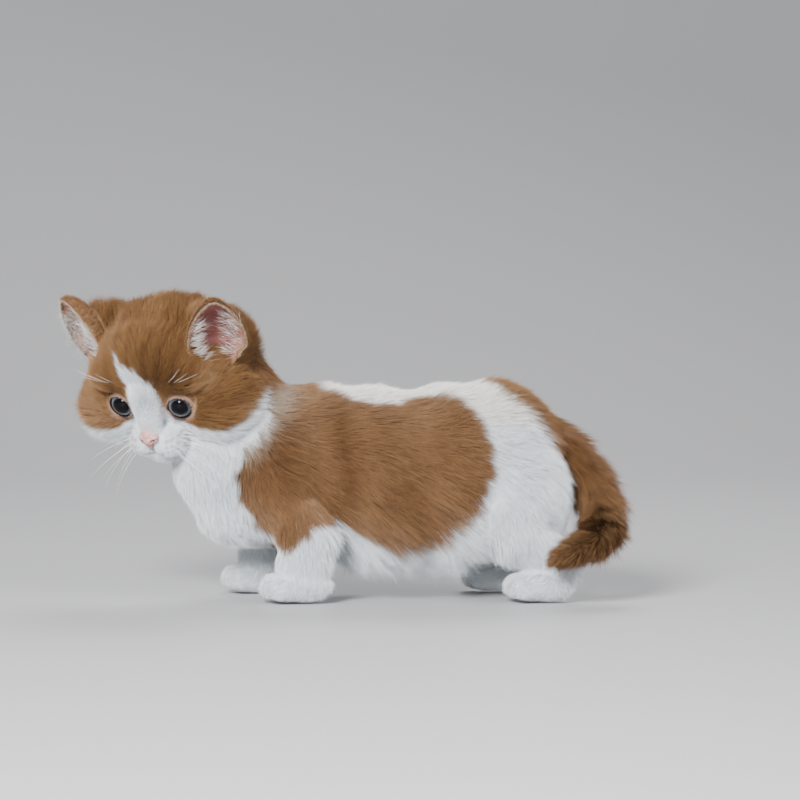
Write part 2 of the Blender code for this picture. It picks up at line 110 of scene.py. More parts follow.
# How deep the coat is over each part, and how the skin under it is made
TRUNK_COAT = 4.0
LEG_COAT = 2.6
PAW_COAT = 1.3
SKIN_VOXEL = 1.15
SKIN_PASSES = 8
TRUNK_PASSES = 90
EYE_SEAT = 2.6
LID_REACH = 7.6
MOUTH_GROOVE = 0.6

# The tufts: how many, how many in a piece and in a clump, and how each one sits
TUFTS = 330000
PIECE_TUFTS = 48000
CLUMP_TUFTS = 16
ROOT_DEPTH = 0.35
TUFT_FLATNESS = 0.6
FLOOR_GAP = 0.25
SOLE_HEIGHT = 1.2
PATCH_HALF = 0.0015

# Colours, linear red, green, blue
GINGER = (0.228, 0.118, 0.054)
DARK_GINGER = (0.125, 0.053, 0.020)
PALE_GINGER = (0.38, 0.22, 0.110)
HEAD_GINGER = (0.215, 0.106, 0.040)
WHITE = (0.825, 0.875, 0.925)
WARM_WHITE = (0.90, 0.86, 0.81)
CREAM = (0.66, 0.57, 0.46)
COLLAR = (0.528, 0.456, 0.368)
INNER_FOLD = (0.434, 0.21, 0.189)
# painted shade deep in the ear's cup
EAR_HOLLOW_SHADE = (0.15, 0.035, 0.033)
TOE_PINK = (0.50, 0.33, 0.30)
BRIDGE_PINK = (0.86, 0.62, 0.58)
EYE_SURROUND = (0.36, 0.22, 0.15)
WHISKER_SPOT = (0.50, 0.34, 0.29)
TEAR_STAIN = (0.45, 0.19, 0.12)
LIP = (0.30, 0.11, 0.10)
PUPIL = (0.004, 0.004, 0.005)
INNER_IRIS = (0.055, 0.065, 0.085)
OUTER_IRIS = (0.12, 0.135, 0.15)
EYE_EDGE = (0.02, 0.018, 0.02)
EYE_BACK = (0.3, 0.2, 0.19)
LID_EDGE = (0.035, 0.018, 0.014)
LID_OUTSIDE = (0.13, 0.065, 0.045)
NOSE_ROSE = (0.62, 0.33, 0.31)
NOSE_DEEP = (0.50, 0.20, 0.19)
# painted shade inside the nostrils
NOSTRIL_SHADE = (0.09, 0.02, 0.02)
EAR_PINK = (0.36, 0.16, 0.125)
EAR_OUTSIDE = (0.1824, 0.0944, 0.0432)
WHISKER_WHITE = (0.9, 0.9, 0.9)
TIP_LIGHT = (0.13, 0.09, 0.045)

HEAD_TURN = np.array(
    (
        Matrix.Rotation(math.radians(180 + HEAD_YAW), 3, "Z")
        @ Matrix.Rotation(math.radians(HEAD_PITCH), 3, "Y")
        @ Matrix.Rotation(math.radians(HEAD_ROLL), 3, "X")
    )
)


def from_head(points):
    """From the head's own axes to the kitten's."""
    return np.asarray(points, float) @ HEAD_TURN.T + HEAD_CENTRE


def to_head(points):
    return (np.asarray(points, float) - HEAD_CENTRE) @ HEAD_TURN


def turned(directions):
    """Directions from the head's own axes to the kitten's."""
    return np.asarray(directions, float) @ HEAD_TURN.T


def unit(vectors):
    return vectors / np.maximum(np.linalg.norm(vectors, axis=-1, keepdims=True), 1e-9)


def ramp(value, low, high):
    """0 at low and 1 at high, eased between; low may be above high."""
    t = np.clip((value - low) / (high - low), 0, 1)
    return t * t * (3 - 2 * t)


def mix(a, b, share):
    """From a to b by a share for each point."""
    share = np.asarray(share)[..., None]
    return np.multiply(a, 1 - share) + np.multiply(b, share)


def hump(value, width):
    """1 at 0, falling off smoothly over the width."""
    return np.exp(-((value / width) ** 2))


def to_segment(points, a, b):
    """The distance from the line between two ends, and the share of the way along it."""
    along = np.clip(((points - a) @ (b - a)) / ((b - a) @ (b - a)), 0, 1)
    return np.linalg.norm(points - a - along[:, None] * (b - a), axis=1), along


def columns(*values):
    return np.stack(np.broadcast_arrays(*values), axis=1).astype(float)


def eye_place(side):
    """The eyeball's centre and the way that it looks, in the head's axes; side is 1 for the left eye."""
    turn = math.radians(EYE_TURN)
    look = np.array((math.cos(turn), side * math.sin(turn), 0))
    apex = np.array((EYE_APEX[0], side * EYE_APEX[1], EYE_APEX[2]))
    return apex - look * EYE_RADIUS, look


# The solids stand with the middle of their footprint at the origin, so the left eye gives the shift
eye_low, eye_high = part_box("eye_left")
SHIFT = (np.array(eye_low) + np.array(eye_high)) / 2 / MM - from_head(eye_place(1)[0])


def placed(points):
    """From millimetres in the kitten's axes to the frame's metres."""
    return (np.asarray(points, float) + SHIFT) * MM


# Body forms, as ellipsoids of the skin


def ball(centre, radii):
    return np.array(centre, float), np.array(radii, float), np.eye(3)


def bone(start, start_radius, end, end_radius, steps=9):
    row = []
    for t in np.linspace(0, 1, steps):
        radius = start_radius + (end_radius - start_radius) * t
        row.append(ball(np.array(start) * (1 - t) + np.array(end) * t, (radius,) * 3))
    return row


def in_head(balls):
    return [(from_head(centre), radii, HEAD_TURN @ turn) for centre, radii, turn in balls]


def thinner(balls, depth):
    return [(centre, radii - depth, turn) for centre, radii, turn in balls]


def trunk_forms():
    balls = [
        ball((-56, 0, TRUNK_MIDDLE + 1), (36, 34, TRUNK_HALF_HEIGHT - 0.5)),
        ball((-81, -1, 60), (23, 26, 28)),
        ball((-38, 0, TRUNK_MIDDLE + 1), (30, 34, TRUNK_HALF_HEIGHT)),
        ball((-71, 0, 42), (23, 25, 24)),
        ball((-18, 0, TRUNK_MIDDLE), (44, TRUNK_HALF_WIDTH, TRUNK_HALF_HEIGHT)),
        ball((15, 0, TRUNK_MIDDLE + 1), (38, TRUNK_HALF_WIDTH, TRUNK_HALF_HEIGHT)),
        ball((36, 0, 60), (30, 35, 35.5)),
        ball((-60, -18, 54), (22, 20, 30)),
        ball((-64, 18, 54), (22, 20, 30)),
        ball((42, -17, 46), (25, 20, 30)),
        ball((38, 17, 46), (25, 20, 30)),
    ]
    return thinner(balls, TRUNK_COAT)


def neck_forms():
    return thinner(bone((-68, 0, 70), 26, (-86, -4, 89), 27), TRUNK_COAT)


def head_forms():
    """The face lies close under the solids, and the cheeks and the back of the head deeper in the coat."""
    balls = [
        ball((-6.5, 0, 3), (26.8, 34, 25.5)),
        ball((6, 0, 10), (15.6, 24, 17.2)),
        ball((3.5, 0, -19), (17, 26, 12)),
        ball((19, 0, -21.5), (7, 7.5, 5.3)),
        *bone((18.9, 0, 4), 7.2, (24, 0, -10), 4.1),
    ]
    for side in (1, -1):
        balls += [
            ball((0.8, side * 18.8, -8), (18.5, 19, 17)),
            ball((-17, side * 14, 0), (18, 17.5, 18.5)),
            ball((20.4, side * 5.3, -16.3), (8.2, 7.2, 6.2)),
            ball((11.2, side * 14, 10.6), (9, 10.5, 7.6)),
            *bone((-8, side * 19, 18), 9, (-2, side * 28.5, 26.5), 6, 7),
        ]
    return in_head(balls)


def foreleg_forms(sign, lead):
    x, y = FORE_X - lead, sign * STANCE_HALF_WIDTH
    balls = [
        *bone((x - 6 + lead / 2, y * 0.8, 44), 16, (x + 4, y, 28), 14),
        *bone((x + 4, y, 28), 14, (x + 2, y, 12), 12),
    ]
    return thinner(balls, LEG_COAT)


def hind_leg_forms(sign, lead):
    x, y = HIND_X - lead, sign * STANCE_HALF_WIDTH
    balls = [
        *bone((x - 12, y * 0.85, 38), 17, (x - 8, y * 0.95, 28), 14),
        *bone((x - 8, y * 0.95, 28), 14, (x + 7, y, 17), 11),
        *bone((x + 7, y, 17), 11, (x + 5, y, 10), 9.5),
    ]
    return thinner(balls, LEG_COAT)


def paw_forms(x, y):
    balls = [
        ball((x + 1.5, y, 8.2), (PAW_HALF_LENGTH - 1.5, PAW_HALF_WIDTH, 8.9)),
        ball((x - 4, y, 7.2), (PAW_HALF_LENGTH - 5, PAW_HALF_WIDTH, 7.9)),
    ]
    for i in range(4):
        across = (i - 1.5) / 1.5
        place = (x - PAW_HALF_LENGTH * (0.66 - 0.12 * across**2), y + across * PAW_HALF_WIDTH * 0.64, 6.4)
        balls.append(ball(place, (5.9, 3.9, 6.3)))
    return thinner(balls, PAW_COAT)


def tail_forms():
    balls = []
    for (start, r0), (end, r1) in zip(TAIL_LINE, TAIL_LINE[1:]):
        balls += bone(start, r0 * TAIL_SKIN, end, r1 * TAIL_SKIN, 6)
    return balls


SIDE_NAMES = {1: "left", -1: "right"}
LIMB_PARTS = ("foreleg", "forepaw", "hind_leg", "hind_paw")
FORMS = {"torso": trunk_forms(), "neck": neck_forms(), "head": head_forms(), "tail": tail_forms()}
FORMS["leg"] = []
FORMS["paw"] = []
PAWS = []
for sign, fore_lead, hind_lead in ((-1, 0, 0), (1, FAR_FORE_LEAD, FAR_HIND_LEAD)):
    FORMS["leg"] += foreleg_forms(sign, fore_lead) + hind_leg_forms(sign, hind_lead)
    for x in (FORE_X - fore_lead, HIND_X - hind_lead):
        PAWS.append((x, sign * STANCE_HALF_WIDTH))
        FORMS["paw"] += paw_forms(x, sign * STANCE_HALF_WIDTH)
REGIONS = list(FORMS)


def depth_under(points, balls):
    """How far each point is outside the nearest of the ellipsoids, along the line from its centre."""
    nearest = np.full(len(points), 1e9)
    for centre, radii, turn in balls:
        local = (points - centre) @ turn
        reach = np.linalg.norm(local / radii, axis=1)
        length = np.linalg.norm(local, axis=1)
        nearest = np.minimum(nearest, length - length / np.maximum(reach, 1e-6))
    return nearest


def region_shares(points, softness=2.2):
    """How much each point belongs to each region, as columns in the order of REGIONS."""
    depth = np.stack([depth_under(points, FORMS[name]) for name in REGIONS], axis=1)
    share = np.exp(-(depth - depth.min(axis=1, keepdims=True)) / softness)
    return share / share.sum(axis=1, keepdims=True)


# Mesh helpers


def new_object(name, mesh):
    obj = bpy.data.objects.new(name, mesh)
    bpy.context.scene.collection.objects.link(obj)
    return obj


def mesh_from(name, points, faces):
    """An object from points in millimetres in the kitten's axes."""
    mesh = bpy.data.meshes.new(name)
    mesh.from_pydata([tuple(p) for p in placed(points)], [], [tuple(int(i) for i in f) for f in faces])
    mesh.polygons.foreach_set("use_smooth", [True] * len(mesh.polygons))
    mesh.update()
    return new_object(name, mesh)


def baked(obj):
    graph = bpy.context.evaluated_depsgraph_get()
    mesh = bpy.data.meshes.new_from_object(obj.evaluated_get(graph))
    obj.modifiers.clear()
    obj.data = mesh
    return obj


def rows_of(items, key, width=3, kind=float):
    """What a mesh keeps under a key, as one row for each of its items."""
    values = np.empty(len(items) * width, kind)
    items.foreach_get(key, values)
    return values.reshape(-1, width)


def coordinates(mesh):
    return rows_of(mesh.vertices, "co")


def vertex_normals(mesh):
    return rows_of(mesh.vertex_normals, "vector")


def move_to(mesh, points):
    mesh.vertices.foreach_set("co", points.ravel())
    mesh.update()


def paint(mesh, colours, material):
    """Gives each vertex a colour, and the mesh the material that reads it."""
    layer = mesh.color_attributes.new("tint", "FLOAT_COLOR", "POINT")
    rgba = np.ones((len(mesh.vertices), 4))
    rgba[:, :3] = colours
    layer.data.foreach_set("color", rgba.ravel())
    mesh.materials.append(material)


def turn_outwards(mesh):
    """Turns every face of a closed mesh outwards."""
    shape = bmesh.new()
    shape.from_mesh(mesh)
    bmesh.ops.recalc_face_normals(shape, faces=shape.faces)
    shape.to_mesh(mesh)
    shape.free()


def grid_faces(rows, cols, row_wraps=False, col_wraps=False):
    """Faces between points that stand in rows; the rows, and the points of each row, may close a ring."""
    faces = []
    for i in range(rows if row_wraps else rows - 1):
        for j in range(cols if col_wraps else cols - 1):
            k, m = (i + 1) % rows, (j + 1) % cols
            faces.append((i * cols + j, i * cols + m, k * cols + m, k * cols + j))
    return faces


def round_mesh(around, rings):
    """Points and faces of a ball of radius 1."""
    polar = np.repeat(math.pi * np.arange(1, rings) / rings, around)
    turn = np.tile(math.tau * np.arange(around) / around, rings - 1)
    rows = columns(np.sin(polar) * np.cos(turn), np.sin(polar) * np.sin(turn), np.cos(polar))
    points = np.concatenate([[(0, 0, 1)], rows, [(0, 0, -1)]])
    grid = grid_faces(rings - 1, around, col_wraps=True)
    faces = [(a + 1, d + 1, c + 1, b + 1) for a, b, c, d in grid]
    last = len(points) - 1
    for j in range(around):
        k = (j + 1) % around
        faces += [(0, 1 + j, 1 + k), (last, last - around + k, last - around + j)]
    return points, faces


def fused(name, balls, voxel, smoothing, around=32):
    """One smooth closed mesh, in millimetres, round overlapping ellipsoids."""
    ball_points, ball_faces = round_mesh(around, around // 2)
    points = []
    faces = []
    for number, (centre, radii, turn) in enumerate(balls):
        points.append((ball_points * radii) @ turn.T + centre)
        start = number * len(ball_points)
        faces += [tuple(i + start for i in face) for face in ball_faces]
    mesh = bpy.data.meshes.new(name)
    mesh.from_pydata(np.concatenate(points), [], faces)
    obj = new_object(name, mesh)
    remesh = obj.modifiers.new("fuse", "REMESH")
    remesh.mode = "VOXEL"
    remesh.voxel_size = voxel
    remesh.use_smooth_shade = True
    smooth = obj.modifiers.new("smooth", "SMOOTH")
    smooth.factor = 0.5
    smooth.iterations = smoothing
    return baked(obj)


# Markings, with painted shade and painted light among them


def wave(points, scale, seed):
    """Soft unevenness between about -1 and 1, from a few crossed sine waves."""
    rng = np.random.default_rng(seed)
    total = np.zeros(len(points))
    for _ in range(5):
        direction = unit(rng.normal(size=3))
        total += np.sin(points @ direction * math.tau / scale * rng.uniform(0.7, 1.6) + rng.uniform(0, 6.3))
    return total / 2.4


# The edge of the ginger saddle seen from the left: along the body, then height
SADDLE = np.array(
    (
        (-64, 84), (-62, 76), (-67, 68), (-75, 60), (-78, 52), (-75, 39), (-69, 31), (-61, 26), (-58, 19),
        (-50, 27), (-42, 31), (-34, 33), (-25, 27), (-16, 22), (-6, 20), (4, 21), (12, 25), (20, 32),
        (26, 40), (30, 51), (30, 63), (28, 71), (24, 79), (19, 85), (11, 87), (0, 86), (-8, 82), (-17, 82),
        (-26, 84), (-33, 89), (-40, 97), (-44, 116), (-96, 116), (-96, 96), (-72, 89),
    ),
    float,
)


def outline_distance(points, outline):
    """Distance to a closed outline, negative inside it."""
    inside = np.zeros(len(points), bool)
    nearest = np.full(len(points), 1e9)
    for a, b in zip(outline, np.roll(outline, -1, axis=0)):
        nearest = np.minimum(nearest, to_segment(points, a, b)[0])
        crosses = (a[1] > points[:, 1]) != (b[1] > points[:, 1])
        rise = b[1] - a[1] if b[1] != a[1] else 1e-9
        inside ^= crosses & (points[:, 0] < (b[0] - a[0]) * (points[:, 1] - a[1]) / rise + a[0])
    return np.where(inside, -nearest, nearest)


def blaze_edges(height):
    """The white blaze's left and right edges across the forehead, by height up the face."""
    heights = (-8, 1, 6, 10, 14.5, 18.3, 21.5, 23.6, 26)
    low = np.interp(height, heights, (-11, -5.2, -4.9, -6.0, -6.6, -7.6, -8.6, -9.0, -10.5))
    high = np.interp(height, heights, (9, 7.0, 7.6, 7.2, 5.8, 1.6, -3.6, -7.4, -11.0))
    return low, high


def head_white(local):
    """How white the head is: muzzle, chin, lower cheeks, throat and the blaze."""
    forward, left, up = local.T
    across = (-40, -22.5, -16.7, -12, 5.5, 9, 14, 19, 24, 29, 33, 38, 44)
    heights = (-12.5, -13, -11.3, -7.6, -6.7, -8.6, -8.4, -9.9, -11, -12.3, -13, -12, -8)
    edge = np.interp(left, across, heights)
    edge = edge + 0.5 * wave(local, 9, 3) - 0.55 * np.clip(4 - forward, 0, 40) * (left < 0)
    lower = ramp(up - edge, 1.2, -1.2) * ramp(forward, -26, -14)
    low, high = blaze_edges(up + 0.8 * wave(local, 6, 4))
    inside = np.minimum(left - low, high - left)
    blaze = ramp(inside, -0.7, 0.9) * ramp(forward, -3, 3) * ramp(up, 28, 25)
    return np.maximum(lower, blaze)


def head_colour(points):
    """Ginger with tabby lines and pale patches, the white of blaze and muzzle, and the pinks of the face."""
    local = to_head(points)
    forward, left, up = local.T
    outward = np.abs(left)
    tabby = 0
    for middle in (5.2, 11.0, 17.0, 23.0):
        off = np.abs(left - 0.8 + 0.8 * wave(local, 14, 5)) - middle + 0.14 * (forward - 8)
        tabby = np.maximum(tabby, hump(off, 1.5))
    colour = mix(HEAD_GINGER, DARK_GINGER, 0.55 * tabby * ramp(up, 9, 17) * ramp(outward, 28, 22))
    cheek_bar = hump(up + 1.2 + 0.25 * (outward - 33), 2.1) * ramp(outward, 27, 33)
    colour = mix(colour, DARK_GINGER, 0.7 * cheek_bar * ramp(forward, -6, 1))
    brow = hump(outward - 25, 5.5) * hump(up - 7.2, 3.2) * ramp(forward, 2, 8)
    colour = mix(colour, PALE_GINGER, 0.8 * brow)
    colour = mix(colour, DARK_GINGER, 0.6 * ramp(forward, -6, -22) * ramp(up, -14, 2))
    for side in (1, -1):
        along, radius, _ = round_the_eye(local, side)
        colour = mix(colour, EYE_SURROUND, 0.7 * (along > 0) * ramp(radius, 7.8, 6.2))
    far_cheek = ramp(left, -20, -27) * ramp(up, 12, 4) * ramp(forward, 2, 8)
    colour = mix(colour, PALE_GINGER, 0.25 * far_cheek)
    colour = mix(colour, WHITE, head_white(local))
    bridge = hump(left, 3.4) * hump(up + 6.5, 3.6) * ramp(forward, 20, 23)
    colour = mix(colour, BRIDGE_PINK, 0.6 * bridge)
    for row in range(3):
        for place in range(4):
            off = np.hypot(outward - 7.4 - 1.9 * place, up + 12.6 + 2.2 * row)
            colour = mix(colour, WHISKER_SPOT, 0.75 * hump(off, 0.5916) * ramp(forward, 17, 19))
    for side, strength in ((1, 0.85), (-1, 0.35)):
        off = (local - (21.6, side * 7.6, -3.0)) / (4, 1.5, 3.1)
        colour = mix(colour, TEAR_STAIN, strength * hump(np.linalg.norm(off, axis=1), 1))
    return colour


def saddle_edge(points, roughness, scale):
    """Distance to the saddle's uneven edge, which is a little further back on the right side."""
    x, y, z = points.T
    flat = np.stack([x - np.where(y < 0, 0.0, 5.0), z], axis=1)
    return outline_distance(flat, SADDLE) + roughness * wave(points, scale, 8)


def torso_colour(points):
    """The ginger saddle and rump on white, with painted shade in the fold behind the shoulder and at the
    front of the flank, paler at the collar.
    """
    x, y, z = points.T
    spine = ramp(np.abs(y), 14, 8) * ramp(x, -42, -34)
    ginger = ramp(saddle_edge(points, 0.9, 11), 1.3, -1.3) * (1 - spine)
    rump_edge = x - 33 - (90 - z) * 0.8 - 0.12 * np.abs(y) + 1.3 * wave(points, 9, 9)
    ginger = np.maximum(ginger, ramp(rump_edge, -3, 3) * ramp(np.abs(y), 27, 18))
    # painted shade: the crease behind the shoulder
    fold = hump(x + 32 + 0.1 * (z - 60), 4) * ramp(z, 28, 45) * ramp(z, 88, 74)
    collar = hump(x + 66 - 0.75 * (z - 72), 6) * ramp(z, 52, 60) * ramp(z, 94, 84)
    body = mix(GINGER, DARK_GINGER, 0.35 * ramp(wave(points, 34, 12), 0.1, 1.0))
    body = mix(body, DARK_GINGER, 0.75 * fold)
    # painted shade: darker towards the front of the flank, low by the shoulder and high at the front
    body = mix(body, DARK_GINGER, 0.5 * ramp(x, -42, -60) * ramp(z, 34, 50))
    body = mix(body, DARK_GINGER, 0.4 * ramp(x, -50, -62) * ramp(z, 66, 80))
    body = mix(body, COLLAR, 0.65 * collar)
    white = mix(WHITE, WARM_WHITE, ramp(z, 66, 84) * ramp(x, -50, -30))
    return mix(white, body, ginger)


def leg_colour(points):
    """White, with the saddle's lower end on the shoulder."""
    return mix(WHITE, GINGER, ramp(saddle_edge(points, 0.8, 9), 1.2, -1.2) * (points[:, 0] < 0))


def paw_colour(points):
    """White, with the skin showing pink between the toes."""
    colour = WHITE
    for paw_x, paw_y in PAWS:
        ahead = points[:, 0] - paw_x
        front = ramp(ahead, -6.5, -9.5) * (np.abs(ahead) < 20) * ramp(points[:, 2], 12, 9)
        for gap in (-1, 0, 1):
            across = points[:, 1] - (paw_y + gap * PAW_HALF_WIDTH * 0.427)
            colour = mix(colour, TOE_PINK, 0.75 * hump(across, 0.7) * front)
    return colour


def tail_colour(points):
    """Dark ginger, painted lighter low down towards the end that lies round the leg, as painted light against
    the shade at the bend.
    """
    # painted light: the dark share falls away low on the tail, where it lies in shade at the bend
    dark = 0.75 + 0.12 * wave(points, 8, 21) - 0.7 * ramp(points[:, 2], 54, 38)
    return mix(GINGER, DARK_GINGER, np.clip(dark, 0, 1))


def coat_colour(points, shares):
    """The markings' colour at each point, with the painted shade and light that they carry; the nearest
    region counts far more than the next.
    """
    shares = shares**5 / np.sum(shares**5, axis=1, keepdims=True)
    return blended(COLOUR, shares, points)


# Skin


def near_corner(angle, width):
    """1 at the eye's inner corner, falling off round the eye."""
    return hump(np.angle(np.exp(1j * (angle - INNER_CORNER))), width)


def eye_opening(angle):
    """The opening's reach from the eye's middle, by the angle round it: 0 points away from the nose."""
    reach = 1 / np.sqrt((np.cos(angle) / EYE_HALF_WIDTH) ** 2 + (np.sin(angle) / EYE_HALF_HEIGHT) ** 2)
    return reach + 0.9 * near_corner(angle, 0.26)


def eye_axes(side):
    """Away from the nose and up, square to the way that the eye looks."""
    return unit(np.cross(eye_place(side)[1], (0, 0, 1))) * -side, np.array((0.0, 0.0, 1.0))


def round_the_eye(local, side):
    """Distance along the eye's line of sight, distance from it, and the angle round it."""
    centre, look = eye_place(side)
    out, up = eye_axes(side)
    off = local - centre
    return off @ look, np.hypot(off @ out, off @ up), np.arctan2(off @ up, off @ out)


def mouth_distance(local):
    """How far each point of the face is from the mouth's line or the cleft under the nose."""
    flat = local[:, 1:]
    t = np.linspace(-1, 1, 41)
    line = columns(MOUTH_HALF_WIDTH * t, MOUTH_HEIGHT + MOUTH_RISE * (t**2 - 0.35 * np.abs(t)))
    nearest = np.hypot(flat[:, 0], flat[:, 1] - np.clip(flat[:, 1], MOUTH_HEIGHT, NOSE_TIP[2] - 3))
    for a, b in zip(line, line[1:]):
        nearest = np.minimum(nearest, to_segment(flat, a, b)[0])
    return np.where(local[:, 0] > 12, nearest, 1e9)


def soften_trunk(mesh):
    """Evens out the creases between the trunk's forms, and leaves the head, legs and tail."""
    points = coordinates(mesh)
    shares = region_shares(points)
    trunk = shares[:, REGIONS.index("torso")] + shares[:, REGIONS.index("neck")]
    share = 0.5 * ramp(trunk, 0.45, 0.9)[:, None]
    ends = rows_of(mesh.edges, "vertices", 2, np.int32)
    a, b = ends.T
    near = np.bincount(ends.ravel(), minlength=len(points))[:, None]
    for _ in range(TRUNK_PASSES):
        total = np.empty_like(points)
        for axis in range(3):
            from_ends = np.bincount(a, points[b, axis], len(points))
            total[:, axis] = from_ends + np.bincount(b, points[a, axis], len(points))
        points += share * (total / near - points)
    move_to(mesh, points)


def press_face(local, normals):
    """Presses the eyes' seats, the ears' cups and the mouth into the head, and raises the lids."""
    for side in (1, -1):
        look = eye_place(side)[1]
        along, radius, angle = round_the_eye(local, side)
        lid = np.sqrt(np.clip((EYE_RADIUS + 0.75) ** 2 - radius**2, 0, None))
        raised = np.maximum(along, lid * ramp(radius, LID_REACH, 6.2) + along * ramp(radius, 6.2, LID_REACH))
        target = np.where(radius < eye_opening(angle), EYE_SEAT, raised)
        moved = (along > -2) & (radius < LID_REACH) & (local[:, 0] > 8)
        local[moved] += (target - along)[moved, None] * look
    for side in (1, -1):
        place, depth = cup_place(local, side)
        low = place[:, 2] + depth + 0.7
        share = ramp(np.abs(place[:, 0]), 0.97, 0.82) * ramp(place[:, 1], -0.42, -0.12)
        share *= (place[:, 1] < 0.97) & (low > 0) & (low < 14)
        local -= ear_frame(side)[3] * (np.where(share > 0, low, 0) * share)[:, None]
    groove = hump(mouth_distance(local), 0.75) * (local[:, 0] > 12) * ramp(np.abs(local[:, 1]), 8, 3)
    local -= normals * (MOUTH_GROOVE * groove)[:, None]
    return local


def build_skin():
    """One skin under the whole coat, finer over the face."""
    obj = fused("skin", [one for name in REGIONS for one in FORMS[name]], SKIN_VOXEL, SKIN_PASSES)
    soften_trunk(obj.data)
    shape = bmesh.new()
    shape.from_mesh(obj.data)
    shape.faces.ensure_lookup_table()
    middles = to_head(np.array([face.calc_center_median() for face in shape.faces]))
    front = (middles[:, 0] > 6) & (np.abs(middles[:, 1]) < 26) & (np.abs(middles[:, 2]) < 26)
    edges = {edge for face, fine in zip(shape.faces, front) if fine for edge in face.edges}
    bmesh.ops.subdivide_edges(shape, edges=list(edges), cuts=1, use_grid_fill=True)
    bmesh.ops.triangulate(shape, faces=shape.faces)
    shape.to_mesh(obj.data)
    shape.free()
    local = press_face(to_head(coordinates(obj.data)), vertex_normals(obj.data) @ HEAD_TURN)
    move_to(obj.data, from_head(local))
    return obj


def unwrap(obj):
    """An unwrap of the skin's own shape, which the coat's patches take their places from."""
    bpy.context.view_layer.objects.active = obj
    obj.select_set(True)
    bpy.ops.object.mode_set(mode="EDIT")
    bpy.ops.mesh.select_all(action="SELECT")
    bpy.ops.uv.smart_project(angle_limit=math.radians(66), island_margin=0.002)
    bpy.ops.object.mode_set(mode="OBJECT")
    obj.select_set(False)
    obj.data.uv_layers[0].name = "OFBake"


# Coat


def along_tail(points):
    """The tail's direction, and its radius over the coat, at the nearest place on its line."""
    nearest = np.full(len(points), 1e9)
    tangent = np.zeros((len(points), 3))
    radius = np.zeros(len(points))
    for (a, r0), (b, r1) in zip(TAIL_LINE, TAIL_LINE[1:]):
        a, b = np.array(a, float), np.array(b, float)
        gap, along = to_segment(points, a, b)
        closer = gap < nearest
        tangent[closer] = unit(b - a)
        radius = np.where(closer, r0 + (r1 - r0) * along, radius)
        nearest = np.minimum(nearest, gap)
    return tangent, radius


def torso_lie(points):
    """Back along the body, down over the chest and the rump, and hanging under the belly."""
    x, y, z = points.T
    lie = columns(1.0, 0.004 * y, -0.12 - 0.55 * ramp(z, 78, 40))
    lie = mix(lie, columns(0.25, 0.012 * y, -1.0), ramp(x, -58, -74))
    lie = mix(lie, columns(0.55, -0.004 * y, -1.0), ramp(z, 34, 24))
    return mix(lie, columns(0.75, 0.012 * y, -0.75), ramp(x, 40, 58))


def head_lie(points):
    """Back from the nose over the face, and down with its weight on the cheeks."""
    local = to_head(points)
    lie = unit(local - (NOSE_TIP[0] - 3, 0, NOSE_TIP[2] + 2))
    lie[:, 0] -= 0.25
    lie[:, 2] -= 0.35 * ramp(local[:, 2], 8, -8) * ramp(local[:, 0], 18, 8)
    return turned(lie)


def tail_lie(points):
    return along_tail(points)[0]


def leg_lie(points):
    return np.array((0.22, 0, -1.0))


def paw_lie(points):
    """Forward over the toes, and down at the heel."""
    paws = np.array([paw_x for paw_x, _ in PAWS])
    off = points[:, :1] - paws
    behind = off[np.arange(len(off)), np.argmin(np.abs(off), axis=1)]
    return mix(np.array((-0.9, 0, -0.3)), np.array((0.2, 0, -1.0)), ramp(behind, 4, 10))


def torso_hair(points, normals):
    """Length in millimetres, and lift in degrees at the root and at the tip."""
    x, _, z = points.T
    back = ramp(z, 78, 88)
    under = ramp(normals[:, 2], -0.15, -0.7) * ramp(x, -44, -34) * (1 - 0.55 * ramp(x, 10, 34))
    chest = ramp(x, -60, -74)
    rump = ramp(x, 42, 56)
    ruff = hump(x + 64 - 0.75 * (z - 74), 7)
    length = 8.0 - 1.0 * back + 10.0 * under - 1.5 * chest + 2.5 * rump + 3 * ruff
    lift = 24.0 + 3 * back + 34 * under - 3 * chest + 6 * rump + 6 * ruff
    return length, lift, lift * 0.5


def head_hair(points, normals):
    """Very short on the muzzle and round the eyes, and longest on the cheeks and the crown."""
    local = to_head(points)
    forward, left, up = local.T
    from_nose = np.linalg.norm(local - (27, 0, -12), axis=1)
    muzzle = ramp(from_nose, 24, 9)
    crown = np.maximum(ramp(up, 10, 22), ramp(forward, -6, -20)) * (1 - muzzle)
    cheek = ramp(np.abs(left), 13, 27) * ramp(up, 2, -9) * ramp(from_nose, 14, 22)
    length = 5.6 - 4.1 * muzzle + 1.9 * crown + 4.5 * cheek
    lift = 28.0 - 8 * muzzle + 9 * crown + 8 * cheek
    for side in (1, -1):
        along, radius, _ = round_the_eye(local, side)
        length *= 1 - 0.62 * ramp(radius, 12, 6.5) * (along > 0)
    return length, lift, lift * 0.55


def leg_hair(points, normals):
    behind = ramp(normals[:, 0], 0.2, 0.9)
    return 5.5 + 3 * behind, 22 + 14 * behind, 12 + 6 * behind


def paw_hair(points, normals):
    low = ramp(points[:, 2], 5, 2)
    return 2.8 - 1.3 * low, 19 - 10 * low, 9.0


def tail_hair(points, normals):
    return 1.05 * along_tail(points)[1], 38.0, 22.0


# What the coat is like on each region: its colours, lie and hair, the tufts' width, and how many there are
COAT = {
    "torso": (torso_colour, torso_lie, torso_hair, 0.25, 1.7),
    "neck": (torso_colour, torso_lie, torso_hair, 0.25, 1.7),
    "head": (head_colour, head_lie, head_hair, 0.21, 2.1),
    "tail": (tail_colour, tail_lie, tail_hair, 0.25, 3.0),
    "leg": (leg_colour, leg_lie, leg_hair, 0.23, 1.6),
    "paw": (paw_colour, paw_lie, paw_hair, 0.20, 1.9),
}
COLOUR, LIE, HAIR, WIDTH, CROWD = range(5)


